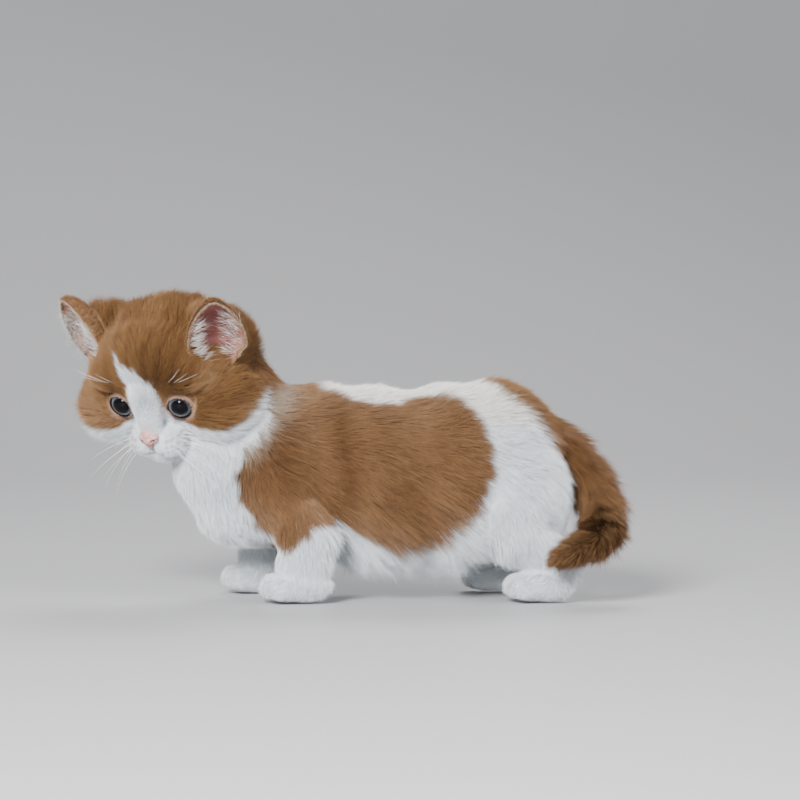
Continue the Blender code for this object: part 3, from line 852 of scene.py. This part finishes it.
def blended(what, shares, *arrays):
    """Each region's answer, mixed by how much each point belongs to it."""
    total = 0
    for column, name in enumerate(REGIONS):
        value = COAT[name][what]
        value = value(*arrays) if callable(value) else value
        value = columns(*value) if isinstance(value, tuple) else value
        total = total + shares[:, column : column + 1] * value
    return total


def bare(points):
    """Where nothing grows: in the eyes' openings, on the nose, along the mouth, and under the ears."""
    local = to_head(points)
    none = points[:, 2] < SOLE_HEIGHT
    for side in (1, -1):
        along, radius, angle = round_the_eye(local, side)
        none |= (along > 0) & (radius < eye_opening(angle) + 0.75) & (local[:, 0] > 8)
        place, depth = cup_place(local, side)
        behind = np.abs(place[:, 2] + depth + 0.7) < 1.2
        none |= (np.abs(place[:, 0]) < 0.9) & (place[:, 1] > -0.3) & (place[:, 1] < 0.97) & behind
    none |= (mouth_distance(local) < 0.3) & (np.abs(local[:, 1]) < 4)
    off = (local - NOSE_TIP + (1.2, 0, 0)) / (4.5, 4.6, 3.2)
    return none | (np.linalg.norm(off, axis=1) < 1)


def scatter(skin, amount):
    """Roots spread over the skin: their places, normals and places on its unwrap."""
    mesh = skin.data
    points = coordinates(mesh)
    normals = vertex_normals(mesh)
    corners = rows_of(mesh.loops, "vertex_index", 1, np.int32).reshape(-1, 3)
    flat = rows_of(mesh.uv_layers["OFBake"].data, "uv", 2).reshape(-1, 3, 2)
    a, b, c = (points[corners[:, i]] for i in range(3))
    area = np.linalg.norm(np.cross(b - a, c - a), axis=1) / 2
    middles = (a + b + c) / 3
    shares = region_shares(middles)
    face = shares[:, REGIONS.index("head")] * ramp(to_head(middles)[:, 0], 0, 16)
    weight = area * blended(CROWD, shares)[:, 0] * (1 + 1.5 * face)
    chosen = random.choice(len(corners), size=amount, p=weight / weight.sum())
    u, v = random.random((2, amount))
    over = u + v > 1
    u, v = np.where(over, 1 - u, u)[:, None], np.where(over, 1 - v, v)[:, None]

    def at_roots(values):
        return values[:, 0] * (1 - u - v) + values[:, 1] * u + values[:, 2] * v

    place = at_roots(points[corners[chosen]])
    keep = ~bare(place)
    return place[keep], unit(at_roots(normals[corners[chosen]]))[keep], at_roots(flat[chosen])[keep]


def clumped(roots, tips, pull):
    """How far each tip moves towards the tip of its clump's middle tuft, and which tuft that is."""
    heads = random.choice(len(roots), size=max(1, len(roots) // CLUMP_TUFTS), replace=False)
    tree = KDTree(len(heads))
    for i, head in enumerate(heads):
        tree.insert(roots[head], i)
    tree.balance()
    own = np.array([heads[tree.find(root)[1]] for root in roots])
    return (tips[own] - tips) * pull[:, None], own


def tuft_path(roots, normals, lie, length, first, last):
    """The middle and the tip of each tuft, lifted over its lie by degrees at the root and at the tip."""
    path = [roots]
    for lift, share in ((first, 0.45), (last, 0.55)):
        lift = np.radians(np.broadcast_to(lift, len(roots)))[:, None]
        way = lie * np.cos(lift) + normals * np.sin(lift)
        path.append(path[-1] + (length * share)[:, None] * way)
    return path[1:]


def tuft_arrays(roots, normals, tips, widths, middles=None):
    """The points of each tuft, and the faces of one: a ring of three points at the root, another half
    way where middles are given, and the tip."""
    heading = unit(tips - roots)
    side = unit(np.cross(heading, normals))
    rise = np.cross(side, heading)
    rings = [(roots - ROOT_DEPTH * normals, widths / 2)]
    if middles is not None:
        rings.append((middles, widths * 0.78 / 2))
    points = []
    for centre, radius in rings:
        for corner in range(3):
            angle = math.tau * corner / 3 + math.pi / 2
            arm = side * math.cos(angle) + rise * (TUFT_FLATNESS * math.sin(angle))
            points.append(centre + arm * radius[:, None])
    points.append(tips)
    top = len(points) - 4
    faces = [(0, 2, 1)]
    for i, j in ((0, 1), (1, 2), (2, 0)):
        if top:
            faces += [(i, j, j + 3), (i, j + 3, i + 3)]
        faces.append((i + top, j + top, top + 3))
    return np.stack(points, axis=1), np.array(faces)


# A tuft's points on its patch, in half patches: the ring at the root, the ring half way and the tip
PATCH_POINTS = np.array([(0, -1), (1, -0.8), (-1, -0.8), (0, 0), (0.8, 0), (-0.8, 0), (0, 1)])


def coat_piece(name, tufts, faces, tints, patches, material):
    """One mesh of tufts that share the faces of one, each on its own patch of the unwrap."""
    count, each = tufts.shape[:2]
    corners = ((np.arange(count) * each)[:, None, None] + faces).ravel()
    triangles = len(corners) // 3
    bent = each == len(PATCH_POINTS)
    mesh = bpy.data.meshes.new(name)
    mesh.vertices.add(count * each)
    mesh.vertices.foreach_set("co", placed(tufts).astype(np.float32).ravel())
    mesh.loops.add(len(corners))
    mesh.loops.foreach_set("vertex_index", corners.astype(np.int32))
    mesh.polygons.add(triangles)
    mesh.polygons.foreach_set("loop_start", np.arange(0, len(corners), 3, dtype=np.int32))
    mesh.polygons.foreach_set("use_smooth", np.full(triangles, bent))
    mesh.update(calc_edges=True)
    mesh.validate()
    paint(mesh, tints.reshape(-1, 3), material)
    within = (PATCH_POINTS if bent else PATCH_POINTS[[0, 1, 2, 6]]) * PATCH_HALF
    spots = (patches[:, None, :] + within).reshape(-1, 2)
    mesh.uv_layers.new(name="OFBake").data.foreach_set("uv", spots[corners].ravel())
    return new_object(name, mesh)


def shaded(colours, tone, painted_root_shade, tip_light, each):
    """The colour of each of a tuft's points: darker at the root as painted shade deep in the coat, lighter at
    the tip.
    """
    base = colours * tone[:, None]
    stack = np.repeat(np.clip(base, 0, 0.95)[:, None, :], each, axis=1)
    # painted shade on the ring of points at the root
    stack[:, :3] *= painted_root_shade[:, None, None]
    stack[:, -1] = np.clip(base * 1.08 + tip_light[:, None] * TIP_LIGHT, 0, 0.97)
    return stack


def dress(skin, amount, material):
    """The whole coat, as pieces by region."""
    roots, normals, patches = scatter(skin, amount)
    count = len(roots)
    shares = region_shares(roots)
    lie = unit(blended(LIE, shares, roots))
    lie = lie + 0.22 * np.stack([wave(roots, 17, 31), wave(roots, 15, 32), wave(roots, 16, 33)], axis=1)
    lie += 0.13 * random.normal(size=lie.shape)
    lie = unit(lie - normals * np.sum(lie * normals, axis=1, keepdims=True))
    hair = blended(HAIR, shares, roots, normals)
    length = hair[:, 0] * random.lognormal(0, 0.17, count)
    first = hair[:, 1] + random.normal(0, 6, count)
    last = hair[:, 2] + random.normal(0, 6, count)
    widths = blended(WIDTH, shares)[:, 0] * random.uniform(0.75, 1.3, count)
    tips = tuft_path(roots, normals, lie, length, first, last)[1]
    shift, own = clumped(roots, tips, np.clip(0.10 + 0.028 * hair[:, 0], 0, 0.42))
    tips += shift * (np.linalg.norm(shift, axis=1) < length * 0.5)[:, None]
    tips[:, 2] = np.maximum(tips[:, 2], FLOOR_GAP)
    colours = coat_colour(roots + 0.7 * (tips - roots), shares)
    tone = 1 + random.normal(0, 0.075, count)[own] + random.normal(0, 0.10, count)
    tone = np.clip(tone, 0.65, 1.4)
    whiteness = ramp(colours[:, 2], 0.25, 0.7)
    tone = tone * (1 - whiteness) + whiteness * (1 + 0.6 * (np.minimum(tone, 1.1) - 1))
    tufts, faces = tuft_arrays(roots, normals, tips, widths)
    # painted shade: each tuft darker at its root, a little less for white tufts
    tints = shaded(colours, tone, 0.56 + 0.06 * whiteness, (1 - whiteness) * 0.22, tufts.shape[1])
    strongest = np.argmax(shares, axis=1)
    pieces = []
    for column, region in enumerate(REGIONS):
        mine = np.flatnonzero(strongest == column)
        mine = mine[np.argsort(roots[mine, 0], kind="stable")]
        for number, group in enumerate(np.array_split(mine, math.ceil(len(mine) / PIECE_TUFTS))):
            name = f"coat_{region}_{number + 1}"
            pieces.append(coat_piece(name, tufts[group], faces, tints[group], patches[group], material))
    return pieces


# Materials


def material_with(name, roughness, **inputs):
    """A material and its Principled shader, with the named inputs set."""
    material = bpy.data.materials.new(name)
    material.use_nodes = True
    shader = material.node_tree.nodes["Principled BSDF"]
    shader.inputs["Roughness"].default_value = roughness
    for key, value in inputs.items():
        shader.inputs[key.replace("_", " ")].default_value = value
    return material, shader


def add_node(tree, kind, inputs, **settings):
    """A shader node with its settings, and its inputs set to values or linked to other nodes' outputs."""
    node = tree.nodes.new(kind)
    for key, value in settings.items():
        setattr(node, key, value)
    for key, value in inputs.items():
        if isinstance(value, bpy.types.NodeSocket):
            tree.links.new(value, node.inputs[key])
        else:
            node.inputs[key].default_value = value
    return node.outputs


def tinted(name, roughness, scale, strength, bump=0.0, bump_scale=0.0, **inputs):
    """A material of the painted tint, broken up by fine noise, with an optional bump."""
    material, shader = material_with(name, roughness, **inputs)
    tree = material.node_tree
    tint = add_node(tree, "ShaderNodeAttribute", {}, attribute_name="tint")["Color"]
    place = add_node(tree, "ShaderNodeTexCoord", {})["Object"]
    noise = add_node(tree, "ShaderNodeTexNoise", {"Scale": scale, "Detail": 3, "Vector": place})["Fac"]
    limits = {"Value": noise, "To Min": 1 - strength, "To Max": 1 + strength}
    share = add_node(tree, "ShaderNodeMapRange", limits)["Result"]
    blend = add_node(tree, "ShaderNodeVectorMath", {0: tint, "Scale": share}, operation="SCALE")
    tree.links.new(blend["Vector"], shader.inputs["Base Color"])
    if bump:
        grain = {"Scale": bump_scale, "Detail": 4, "Vector": place}
        height = add_node(tree, "ShaderNodeTexNoise", grain)["Fac"]
        relief = {"Strength": bump, "Distance": 0.0004, "Height": height}
        normal = add_node(tree, "ShaderNodeBump", relief)["Normal"]
        tree.links.new(normal, shader.inputs["Normal"])
    return material


def main_materials():
    wet = {"Specular_IOR_Level": 0.0, "Coat_Weight": 0.8, "Coat_Roughness": 0.03, "Coat_IOR": 1.22}
    return {
        "coat": tinted("coat", 0.6, 260, 0.07, Specular_IOR_Level=0.2),
        "skin": tinted("skin", 0.7, 300, 0.08, 0.5, 1400),
        "leather": tinted("nose_leather", 0.42, 500, 0.08, 0.55, 2600, Coat_Weight=0.15),
        "eye": tinted("eye", 0.3, 900, 0.12, **wet),
        "lid": tinted("lid", 0.38, 700, 0.1, 0.4, 2200),
        "ear": tinted("ear_skin", 0.55, 420, 0.12, 0.5, 1500, Subsurface_Weight=0.08),
        "whisker": tinted("whisker", 0.35, 100, 0.04),
    }


# Face pieces


def dome_height(radius, curve):
    """Height of a dome of the given radius of curve over the edge of the cornea."""
    inner = np.sqrt(np.clip(curve**2 - radius**2, 0, None))
    return inner - math.sqrt(curve**2 - CORNEA_REACH**2)


def build_eye(side, material):
    """An eyeball with a domed front, a deep pupil, a thin blue-grey ring and a dark edge."""
    centre, look = eye_place(side)
    shape = bmesh.new()
    turn = Vector(look).to_track_quat("Z", "Y").to_matrix().to_4x4()
    bmesh.ops.create_uvsphere(shape, u_segments=72, v_segments=72, radius=EYE_RADIUS, matrix=turn)
    mesh = bpy.data.meshes.new("eyeball")
    shape.to_mesh(mesh)
    shape.free()
    local = coordinates(mesh)
    along = local @ look
    reach = math.sqrt(EYE_RADIUS**2 - EYE_HALF_WIDTH**2)
    gaze = unit(GAZE)
    forth = reach * (look @ gaze)
    seen = unit(look * reach + gaze * (math.sqrt(forth**2 + EYE_HALF_WIDTH**2) - forth))
    radius = np.linalg.norm(np.cross(local, seen), axis=1)
    dome = dome_height(radius, CORNEA_RADIUS) - dome_height(radius, EYE_RADIUS)
    dome *= (radius < CORNEA_REACH) & (local @ seen > 0)
    local += dome[:, None] * seen
    faces = [tuple(face.vertices) for face in mesh.polygons]
    obj = mesh_from(f"eyeball_{SIDE_NAMES[side]}", from_head(local + centre), faces)
    iris = mix(INNER_IRIS, OUTER_IRIS, ramp(radius, 3.6, 4.4))
    colour = mix(PUPIL, iris, ramp(radius, PUPIL_RADIUS - 0.15, PUPIL_RADIUS + 0.2))
    colour = mix(colour, EYE_EDGE, ramp(radius, 4.5, 4.9))
    paint(obj.data, np.where((along > 0)[:, None], colour, EYE_BACK), material)
    return obj


def build_lids(side, material):
    """The rim of both lids: dark at the eye, paler outside, with the small pink fold at the inner corner."""
    centre, look = eye_place(side)
    out, up = eye_axes(side)
    around, sections = 96, 12
    angle = np.linspace(0, math.tau, around, endpoint=False)
    opening = eye_opening(angle)
    direction = np.cos(angle)[:, None] * out + np.sin(angle)[:, None] * up
    rows = []
    colours = []
    for k in range(sections):
        turn = math.tau * k / sections
        radius = opening + 0.35 + 0.62 * math.cos(turn)
        along = np.sqrt(np.clip((EYE_RADIUS + 0.45) ** 2 - (opening + 0.42) ** 2, 0, None))
        along = along + 0.5 * math.sin(turn) - 0.5 * math.cos(turn)
        rows.append(centre + direction * radius[:, None] + look * along[:, None])
        shade = mix(LID_EDGE, LID_OUTSIDE, np.full(around, ramp(math.cos(turn), -0.1, 0.9)))
        colours.append(mix(shade, INNER_FOLD, 0.7 * near_corner(angle, 0.4)))
    faces = grid_faces(sections, around, True, True)
    obj = mesh_from(f"lids_{SIDE_NAMES[side]}", from_head(np.concatenate(rows)), faces)
    paint(obj.data, np.concatenate(colours), material)
    turn_outwards(obj.data)
    return obj


def build_nose(material):
    """The nose leather: a bridge, a tip and two wings, with the nostrils and the cleft pressed in."""
    x, _, z = NOSE_TIP
    balls = [
        ball((x - 2.3, 0, z + 1.9), (2.0, 2.0, 1.9)),
        ball((x - 1.6, 0, z - 0.4), (1.9, 2.6, 2.1)),
        ball((x - 2.0, 0, z - 2.7), (1.5, 1.1, 1.7)),
    ]
    for side in (1, -1):
        balls.append(ball((x - 2.6, side * 2.6, z + 0.3), (2.1, 1.9, 1.9)))
    obj = fused("nose_leather", in_head(balls), 0.24, 6, 24)
    local = to_head(coordinates(obj.data))
    normals = vertex_normals(obj.data) @ HEAD_TURN
    dark = np.zeros(len(local))
    for side in (1, -1):
        off = (local[:, 1:] - (side * 2.6, z - 0.2)) @ np.array(((0.92, -side * 0.4), (side * 0.4, 0.92)))
        hole = hump(off[:, 0], 1.1) * hump(off[:, 1], 0.62) * (local[:, 0] > x - 3.5)
        slit = hump(local[:, 1] - side * 3.6, 0.9) * hump(local[:, 2] - z - 0.15, 0.3)
        hole = np.maximum(hole, 0.8 * slit)
        local -= normals * (1.1 * hole)[:, None]
        dark = np.maximum(dark, hole)
    cleft = hump(local[:, 1], 0.25) * (local[:, 2] < z + 0.6) * (local[:, 0] > x - 3)
    local -= normals * (0.3 * cleft)[:, None]
    move_to(obj.data, placed(from_head(local)))
    rose = mix(NOSE_ROSE, NOSE_DEEP, ramp(local[:, 2], z, z - 3))
    # painted shade: the nostrils and their slits darkened as deep holes
    paint(obj.data, mix(rose, NOSTRIL_SHADE, np.clip(dark * 1.1, 0, 1)), material)
    return obj


def ear_frame(side):
    """The ear's root, its ways up, across and to the front, and its height, in the head's axes."""
    mirror = np.array((1, side, 1))
    base, tip = EAR_BASE * mirror, EAR_TIP * mirror
    up = unit(tip - base)
    across = EAR_ACROSS * mirror
    across = unit(across - up * (across @ up))
    return base, up, across, np.cross(across, up) * side, np.linalg.norm(tip - base)


def ear_spread(v):
    """How wide the ear is at each share of its height, rounded at the top."""
    return (1 - np.clip(v, 0, 1) ** 2.1) ** 0.68 * (1 - 1.3 * np.clip(-v, 0, 0.5))


def ear_back(angle, spread):
    """How far the ear's sheet lies behind its edges."""
    return (np.cos(angle) - math.cos(EAR_CURL)) / (1 - math.cos(EAR_CURL)) * EAR_DEPTH * spread**0.7


def ear_point(side, u, v):
    """A point of the ear's sheet in the head's axes: -1 to 1 across, and from its root up to 1 at the tip."""
    base, up, across, front, height = ear_frame(side)
    spread = ear_spread(v)
    angle = EAR_CURL * u
    sideways = np.sin(angle) / math.sin(EAR_CURL) * EAR_HALF_WIDTH * spread
    back = ear_back(angle, spread)
    return base + up * (v * height)[..., None] + across * sideways[..., None] - front * back[..., None]


def ear_sheet(side, u, v, step=0.01):
    """A point of the ear's sheet, and the ways across it and up it there."""
    across = ear_point(side, u + step, v) - ear_point(side, u - step, v)
    up = ear_point(side, u, v + step) - ear_point(side, u, v - step)
    return ear_point(side, u, v), unit(across), unit(up)


def cup_place(local, side):
    """Where points are in the ear's cup: the share across it, the share up it and the distance before
    it, with the depth of the cup there."""
    base, up, across, front, height = ear_frame(side)
    off = local - base
    v = off @ up / height
    spread = ear_spread(np.minimum(v, 0.999))
    u = off @ across / (EAR_HALF_WIDTH * spread)
    angle = np.arcsin(np.clip(u, -1, 1) * math.sin(EAR_CURL))
    return np.stack([u, v, off @ front], axis=1), ear_back(angle, spread)


def ear_patch(u, v, inner):
    """Where points of the ear are on its own unwrap: the inner side on the left, the outer on the right."""
    across = 0.05 + 0.2 * (u + 1) + np.where(inner, 0.0, 0.5)
    return np.stack([across, 0.05 + 0.9 * (v - EAR_ROOT) / (1 - EAR_ROOT)], axis=1)


def build_ear(side, material):
    """A cupped ear with a thick root and a thin edge, bare and pink inside, with painted shade deep in the
    cup.
    """
    rows, cols = 30, 34
    grid_u, grid_v = np.meshgrid(np.linspace(-1, 1, cols), np.linspace(EAR_ROOT, 0.995, rows))
    middle = ear_point(side, grid_u, grid_v)
    normal = unit(np.cross(np.gradient(middle, axis=1), np.gradient(middle, axis=0)))
    normal *= np.sign(normal @ ear_frame(side)[3])[..., None]
    thick = 0.75 - 0.4 * np.clip(grid_v, 0, 1) - 0.2 * np.abs(grid_u) ** 3
    thick = np.clip(thick, 0.18, 1)[..., None]
    points = np.concatenate([(middle + way * normal * thick).reshape(-1, 3) for way in (1, -1)])
    count = rows * cols
    faces = grid_faces(rows, cols)
    faces += [(a + count, d + count, c + count, b + count) for a, b, c, d in faces]
    rim = [i * cols for i in range(rows)] + [(rows - 1) * cols + j for j in range(1, cols)]
    rim += [i * cols + cols - 1 for i in range(rows - 2, -1, -1)] + list(range(cols - 2, 0, -1))
    for a, b in zip(rim, rim[1:] + rim[:1]):
        faces.append((a, b, b + count, a + count))
    obj = mesh_from(f"ear_flap_{SIDE_NAMES[side]}", from_head(points), faces)
    spots = np.concatenate([ear_patch(grid_u.ravel(), grid_v.ravel(), inner) for inner in (True, False)])
    corners = rows_of(obj.data.loops, "vertex_index", 1, np.int32)[:, 0]
    obj.data.uv_layers.new(name="OFBake").data.foreach_set("uv", spots[corners].ravel())
    # painted shade: maroon deep in the cup, low and towards its middle
    deep = ramp(grid_v, 0.98, 0.55) * ramp(np.abs(grid_u), 0.98, 0.35)
    edge = np.maximum(ramp(np.abs(grid_u), 0.8, 0.98), ramp(grid_v, 0.86, 0.97))
    inside = mix(mix(EAR_PINK, EAR_HOLLOW_SHADE, 0.9 * deep), GINGER, edge).reshape(-1, 3)
    paint(obj.data, np.concatenate([inside, np.tile(EAR_OUTSIDE, (count, 1))]), material)
    turn_outwards(obj.data)
    return obj


def ear_hair(side, material):
    """Short coat on the back of the ear and along its edge, and long pale hairs across the cup."""
    _, up, across, front, _ = ear_frame(side)
    groups = []
    count = 3600
    u = random.uniform(-1, 1, count)
    v = random.uniform(-0.35, 1, count)
    place, du, dv = ear_sheet(side, u, v)
    normal = unit(np.cross(du, dv))
    normal *= np.sign(normal @ front)[:, None]
    lie = unit(dv + 0.25 * np.sign(u)[:, None] * du + 0.2 * random.normal(size=dv.shape))
    length = random.uniform(1.8, 3.0, count) + 1.2 * ramp(v, 0.2, -0.3)
    tone = mix(GINGER, DARK_GINGER, 0.35 * random.random(count))
    groups.append((place - normal * 0.5, -normal, lie, length, 22, 14, 0.22, tone, ear_patch(u, v, False)))
    count = 1500
    u = np.sign(random.uniform(-1, 1, count)) * random.uniform(0.9, 1.0, count)
    v = random.uniform(-0.3, 0.98, count)
    top = random.random(count) < 0.2
    u = np.where(top, random.uniform(-1, 1, count), u)
    v = np.where(top, random.uniform(0.85, 0.99, count), v)
    place, du, dv = ear_sheet(side, u, v)
    lie = unit(0.8 * dv + 0.7 * du * np.sign(u)[:, None] + 0.2 * random.normal(size=dv.shape))
    length = random.uniform(1.4, 2.8, count)
    tone = mix(PALE_GINGER, CREAM, random.random(count))
    groups.append((place, unit(np.cross(du, dv)), lie, length, 8, 4, 0.18, tone, ear_patch(u, v, True)))
    count = 400 if side > 0 else 1500
    medial = random.random(count) < (0.5 if side > 0 else 0.4)
    u = np.where(medial, random.uniform(-0.98, -0.55, count), random.uniform(0.35, 0.98, count))
    v = random.uniform(-0.3, 0.55, count)
    place = ear_point(side, u, v) + front * 0.6
    inward = np.where(medial, 1.0, -0.7)[:, None] * across
    rise = (0.55 + 0.5 * random.random(count))[:, None] * up
    lie = unit(inward + rise + 0.3 * random.normal(size=(count, 3)))
    length = random.uniform(5, 10, count) if side > 0 else random.uniform(4, 8, count)
    tone = mix(CREAM, WHITE, random.random(count))
    normal = np.tile(front, (count, 1))
    groups.append((place, normal, lie, length, 34, 12, 0.13, tone, ear_patch(u, v, True)))
    tufts, tints, patches = [], [], []
    for place, normal, lie, length, first, last, width, tone, patch in groups:
        ones = np.ones(len(place))
        middle, tip = tuft_path(place, normal, lie, length, first, last)
        widths = width * random.uniform(0.8, 1.2, len(place))
        middle = from_head(middle)
        some, faces = tuft_arrays(from_head(place), turned(normal), from_head(tip), widths, middle)
        tufts.append(some)
        shade = random.uniform(0.9, 1.1, len(place))
        # painted shade: the ear's tufts darker at the root
        tints.append(shaded(tone, shade, 0.7 * ones, 0.2 * ones, some.shape[1]))
        patches.append(patch)
    tufts, tints, patches = (np.concatenate(rows) for rows in (tufts, tints, patches))
    return coat_piece(f"coat_ear_{SIDE_NAMES[side]}", tufts, faces, tints, patches, material)


def tube(path, radii, sides=5):
    """Points and faces of a tapered tube along a path, closed at its root and pointed at its end."""
    tangents = unit(np.gradient(path, axis=0))
    side = unit(np.cross(tangents, (0.13, 0.21, 1)))
    rise = np.cross(side, tangents)
    points = []
    for centre, radius, s, r in zip(path[:-1], radii, side, rise):
        for k in range(sides):
            angle = math.tau * k / sides
            points.append(centre + radius * (math.cos(angle) * s + math.sin(angle) * r))
    points.append(path[-1])
    faces = [tuple(range(sides))]
    faces += [(a, d, c, b) for a, b, c, d in grid_faces(len(path) - 1, sides, col_wraps=True)]
    last = (len(path) - 2) * sides
    for k in range(sides):
        faces.append((last + k, last + sides, last + (k + 1) % sides))
    return points, faces


def build_whiskers(side, material):
    """Long white whiskers in rows on the muzzle, and a few over the eye."""
    rng = np.random.default_rng(40 + side)
    points, faces = [], []
    hairs = []
    for row in range(3):
        for k in range(4):
            root = (24.5 - 1.7 * k, side * (7.0 + 1.5 * k), -13.2 - 2.3 * row)
            way = (0.32 - 0.2 * k, side * 1.0, -0.28 - 0.26 * row)
            hairs.append((root, way, rng.uniform(24, 36) - 3 * row, -0.35 - 0.12 * row, 0.12))
    for k in range(4):
        root = (18.5, side * (9.5 + 1.8 * k), 9.5 + 0.6 * k)
        hairs.append((root, (0.5, side * (0.7 + 0.15 * k), 0.75), rng.uniform(14, 20), -0.1, 0.06))
    for root, way, length, sag, thickness in hairs:
        way = unit(np.array(way) + 0.08 * rng.normal(size=3))
        t = np.linspace(0, 1, 12)[:, None]
        path = np.array(root) + way * t * length + np.array((-0.28, 0, sag)) * t**2 * length * 0.7
        some, some_faces = tube(from_head(path), thickness * (1 - t[:, 0]) ** 0.8 + 0.012)
        start = len(points)
        points += some
        faces += [tuple(i + start for i in face) for face in some_faces]
    obj = mesh_from(f"whiskers_{SIDE_NAMES[side]}", np.array(points), faces)
    paint(obj.data, WHISKER_WHITE, material)
    return obj


# Studio


def look_from(obj, place, way, roll=0.0):
    """Puts a light or the camera at a place, looking the given way."""
    obj.location = place
    obj.rotation_mode = "QUATERNION"
    turn = Matrix.Rotation(roll, 4, "Z").to_quaternion()
    obj.rotation_quaternion = Vector(way).to_track_quat("-Z", "Y") @ turn


CAMERA_AZIMUTH = math.radians(-12)
CAMERA_HEIGHT = math.radians(2)
CAMERA_ROLL = math.radians(0.9)
CAMERA_DISTANCE = 1.5
PIXEL = 0.42 * MM
IMAGE_WIDTH = 800
AIM = (-3.9, 0.0, 83.3)
FLOOR_END = 0.9
SWEEP = 1.2
SWEEP_STEPS = 12
FLOOR_FRONT = -3.0
FLOOR_HALF_WIDTH = 4.0
BACKDROP_HEIGHT = 4.0
SENSOR_WIDTH = 36

# Each light's name, place, size and power
LIGHTS = (
    ("key", (-0.72, -1.3, 0.74), 0.55, 58),
    ("fill", (0.95, -1.0, 0.55), 0.9, 8),
    ("rim", (0.35, 0.95, 1.1), 0.7, 9),
)


def build_studio():
    """The camera at the photograph's angle, three soft lights and a pale floor that curves up behind."""
    scene = bpy.context.scene
    camera = new_object("camera", bpy.data.cameras.new("camera"))
    flat = math.cos(CAMERA_HEIGHT)
    across, forth = math.sin(CAMERA_AZIMUTH) * flat, -math.cos(CAMERA_AZIMUTH) * flat
    back = Vector((across, forth, math.sin(CAMERA_HEIGHT)))
    aim = Vector(placed(AIM))
    look_from(camera, aim + back * CAMERA_DISTANCE, -back, CAMERA_ROLL)
    camera.data.sensor_width = SENSOR_WIDTH
    camera.data.lens = SENSOR_WIDTH * CAMERA_DISTANCE / (IMAGE_WIDTH * PIXEL)
    scene.camera = camera
    for name, place, size, power in LIGHTS:
        light = bpy.data.lights.new(name, "AREA")
        light.shape = "DISK"
        light.size = size
        light.energy = power
        look_from(new_object(name, light), place, aim - Vector(place))
    world = bpy.data.worlds.new("studio")
    world.use_nodes = True
    sky = world.node_tree.nodes["Background"].inputs
    sky["Color"].default_value = (0.80, 0.82, 0.86, 1)
    sky["Strength"].default_value = 0.38
    scene.world = world
    profile = [(FLOOR_FRONT, 0.0), (FLOOR_END, 0.0)]
    for step in range(1, SWEEP_STEPS + 1):
        turn = math.radians(90 * step / SWEEP_STEPS)
        profile.append((FLOOR_END + SWEEP * math.sin(turn), SWEEP * (1 - math.cos(turn))))
    profile.append((FLOOR_END + SWEEP, BACKDROP_HEIGHT))
    mesh = bpy.data.meshes.new("floor")
    points = [(x, y, z) for y, z in profile for x in (-FLOOR_HALF_WIDTH, FLOOR_HALF_WIDTH)]
    faces = [(2 * i, 2 * i + 1, 2 * i + 3, 2 * i + 2) for i in range(len(profile) - 1)]
    mesh.from_pydata(points, [], faces)
    mesh.polygons.foreach_set("use_smooth", [True] * len(faces))
    mesh.materials.append(material_with("floor", 0.5, Base_Color=(0.56, 0.56, 0.57, 1))[0])
    obj = new_object("floor", mesh)


def finish_skin(skin, material):
    """Paints the skin with the coat's own markings, a little darker as painted shade under the coat, and
    places it in the frame.
    """
    points = coordinates(skin.data)
    local = to_head(points)
    lip = hump(mouth_distance(local), 0.8) * ramp(np.abs(local[:, 1]), 6, 2.5)
    # painted shade: the skin under the coat darker than the markings, by 0.72
    paint(skin.data, mix(coat_colour(points, region_shares(points)) * 0.72, LIP, lip), material)
    move_to(skin.data, placed(points))
    skin.data.polygons.foreach_set("use_smooth", [True] * len(skin.data.polygons))


def main():
    materials = main_materials()
    build_studio()
    skin = build_skin()
    unwrap(skin)
    amount = TUFTS
    coat = dress(skin, amount, materials["coat"])
    finish_skin(skin, materials["skin"])
    limbs = [f"{part}_{name}" for part in LIMB_PARTS for name in SIDE_NAMES.values()]
    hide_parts("torso", "neck", "head", "tail_base", "tail_middle", "tail_tip", *limbs)
    slots = {skin: "bare_skin"}
    for side, name in SIDE_NAMES.items():
        eye = build_eye(side, materials["eye"])
        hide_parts(f"eye_{name}")
        slots[eye] = "eye"
        slots[build_lids(side, materials["lid"])] = "bare_skin"
        ear = build_ear(side, materials["ear"])
        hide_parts(f"ear_{name}")
        slots[ear] = "bare_skin"
        coat.append(ear_hair(side, materials["coat"]))
        slots[build_whiskers(side, materials["whisker"])] = "coat_white"
    nose = build_nose(materials["leather"])
    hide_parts("nose")
    slots[nose] = "bare_skin"
    for piece in coat:
        slots[piece] = "coat_white" if "paw" in piece.name or "leg" in piece.name else "coat_ginger"
    for piece, slot in slots.items():
        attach(piece, "root")


main()
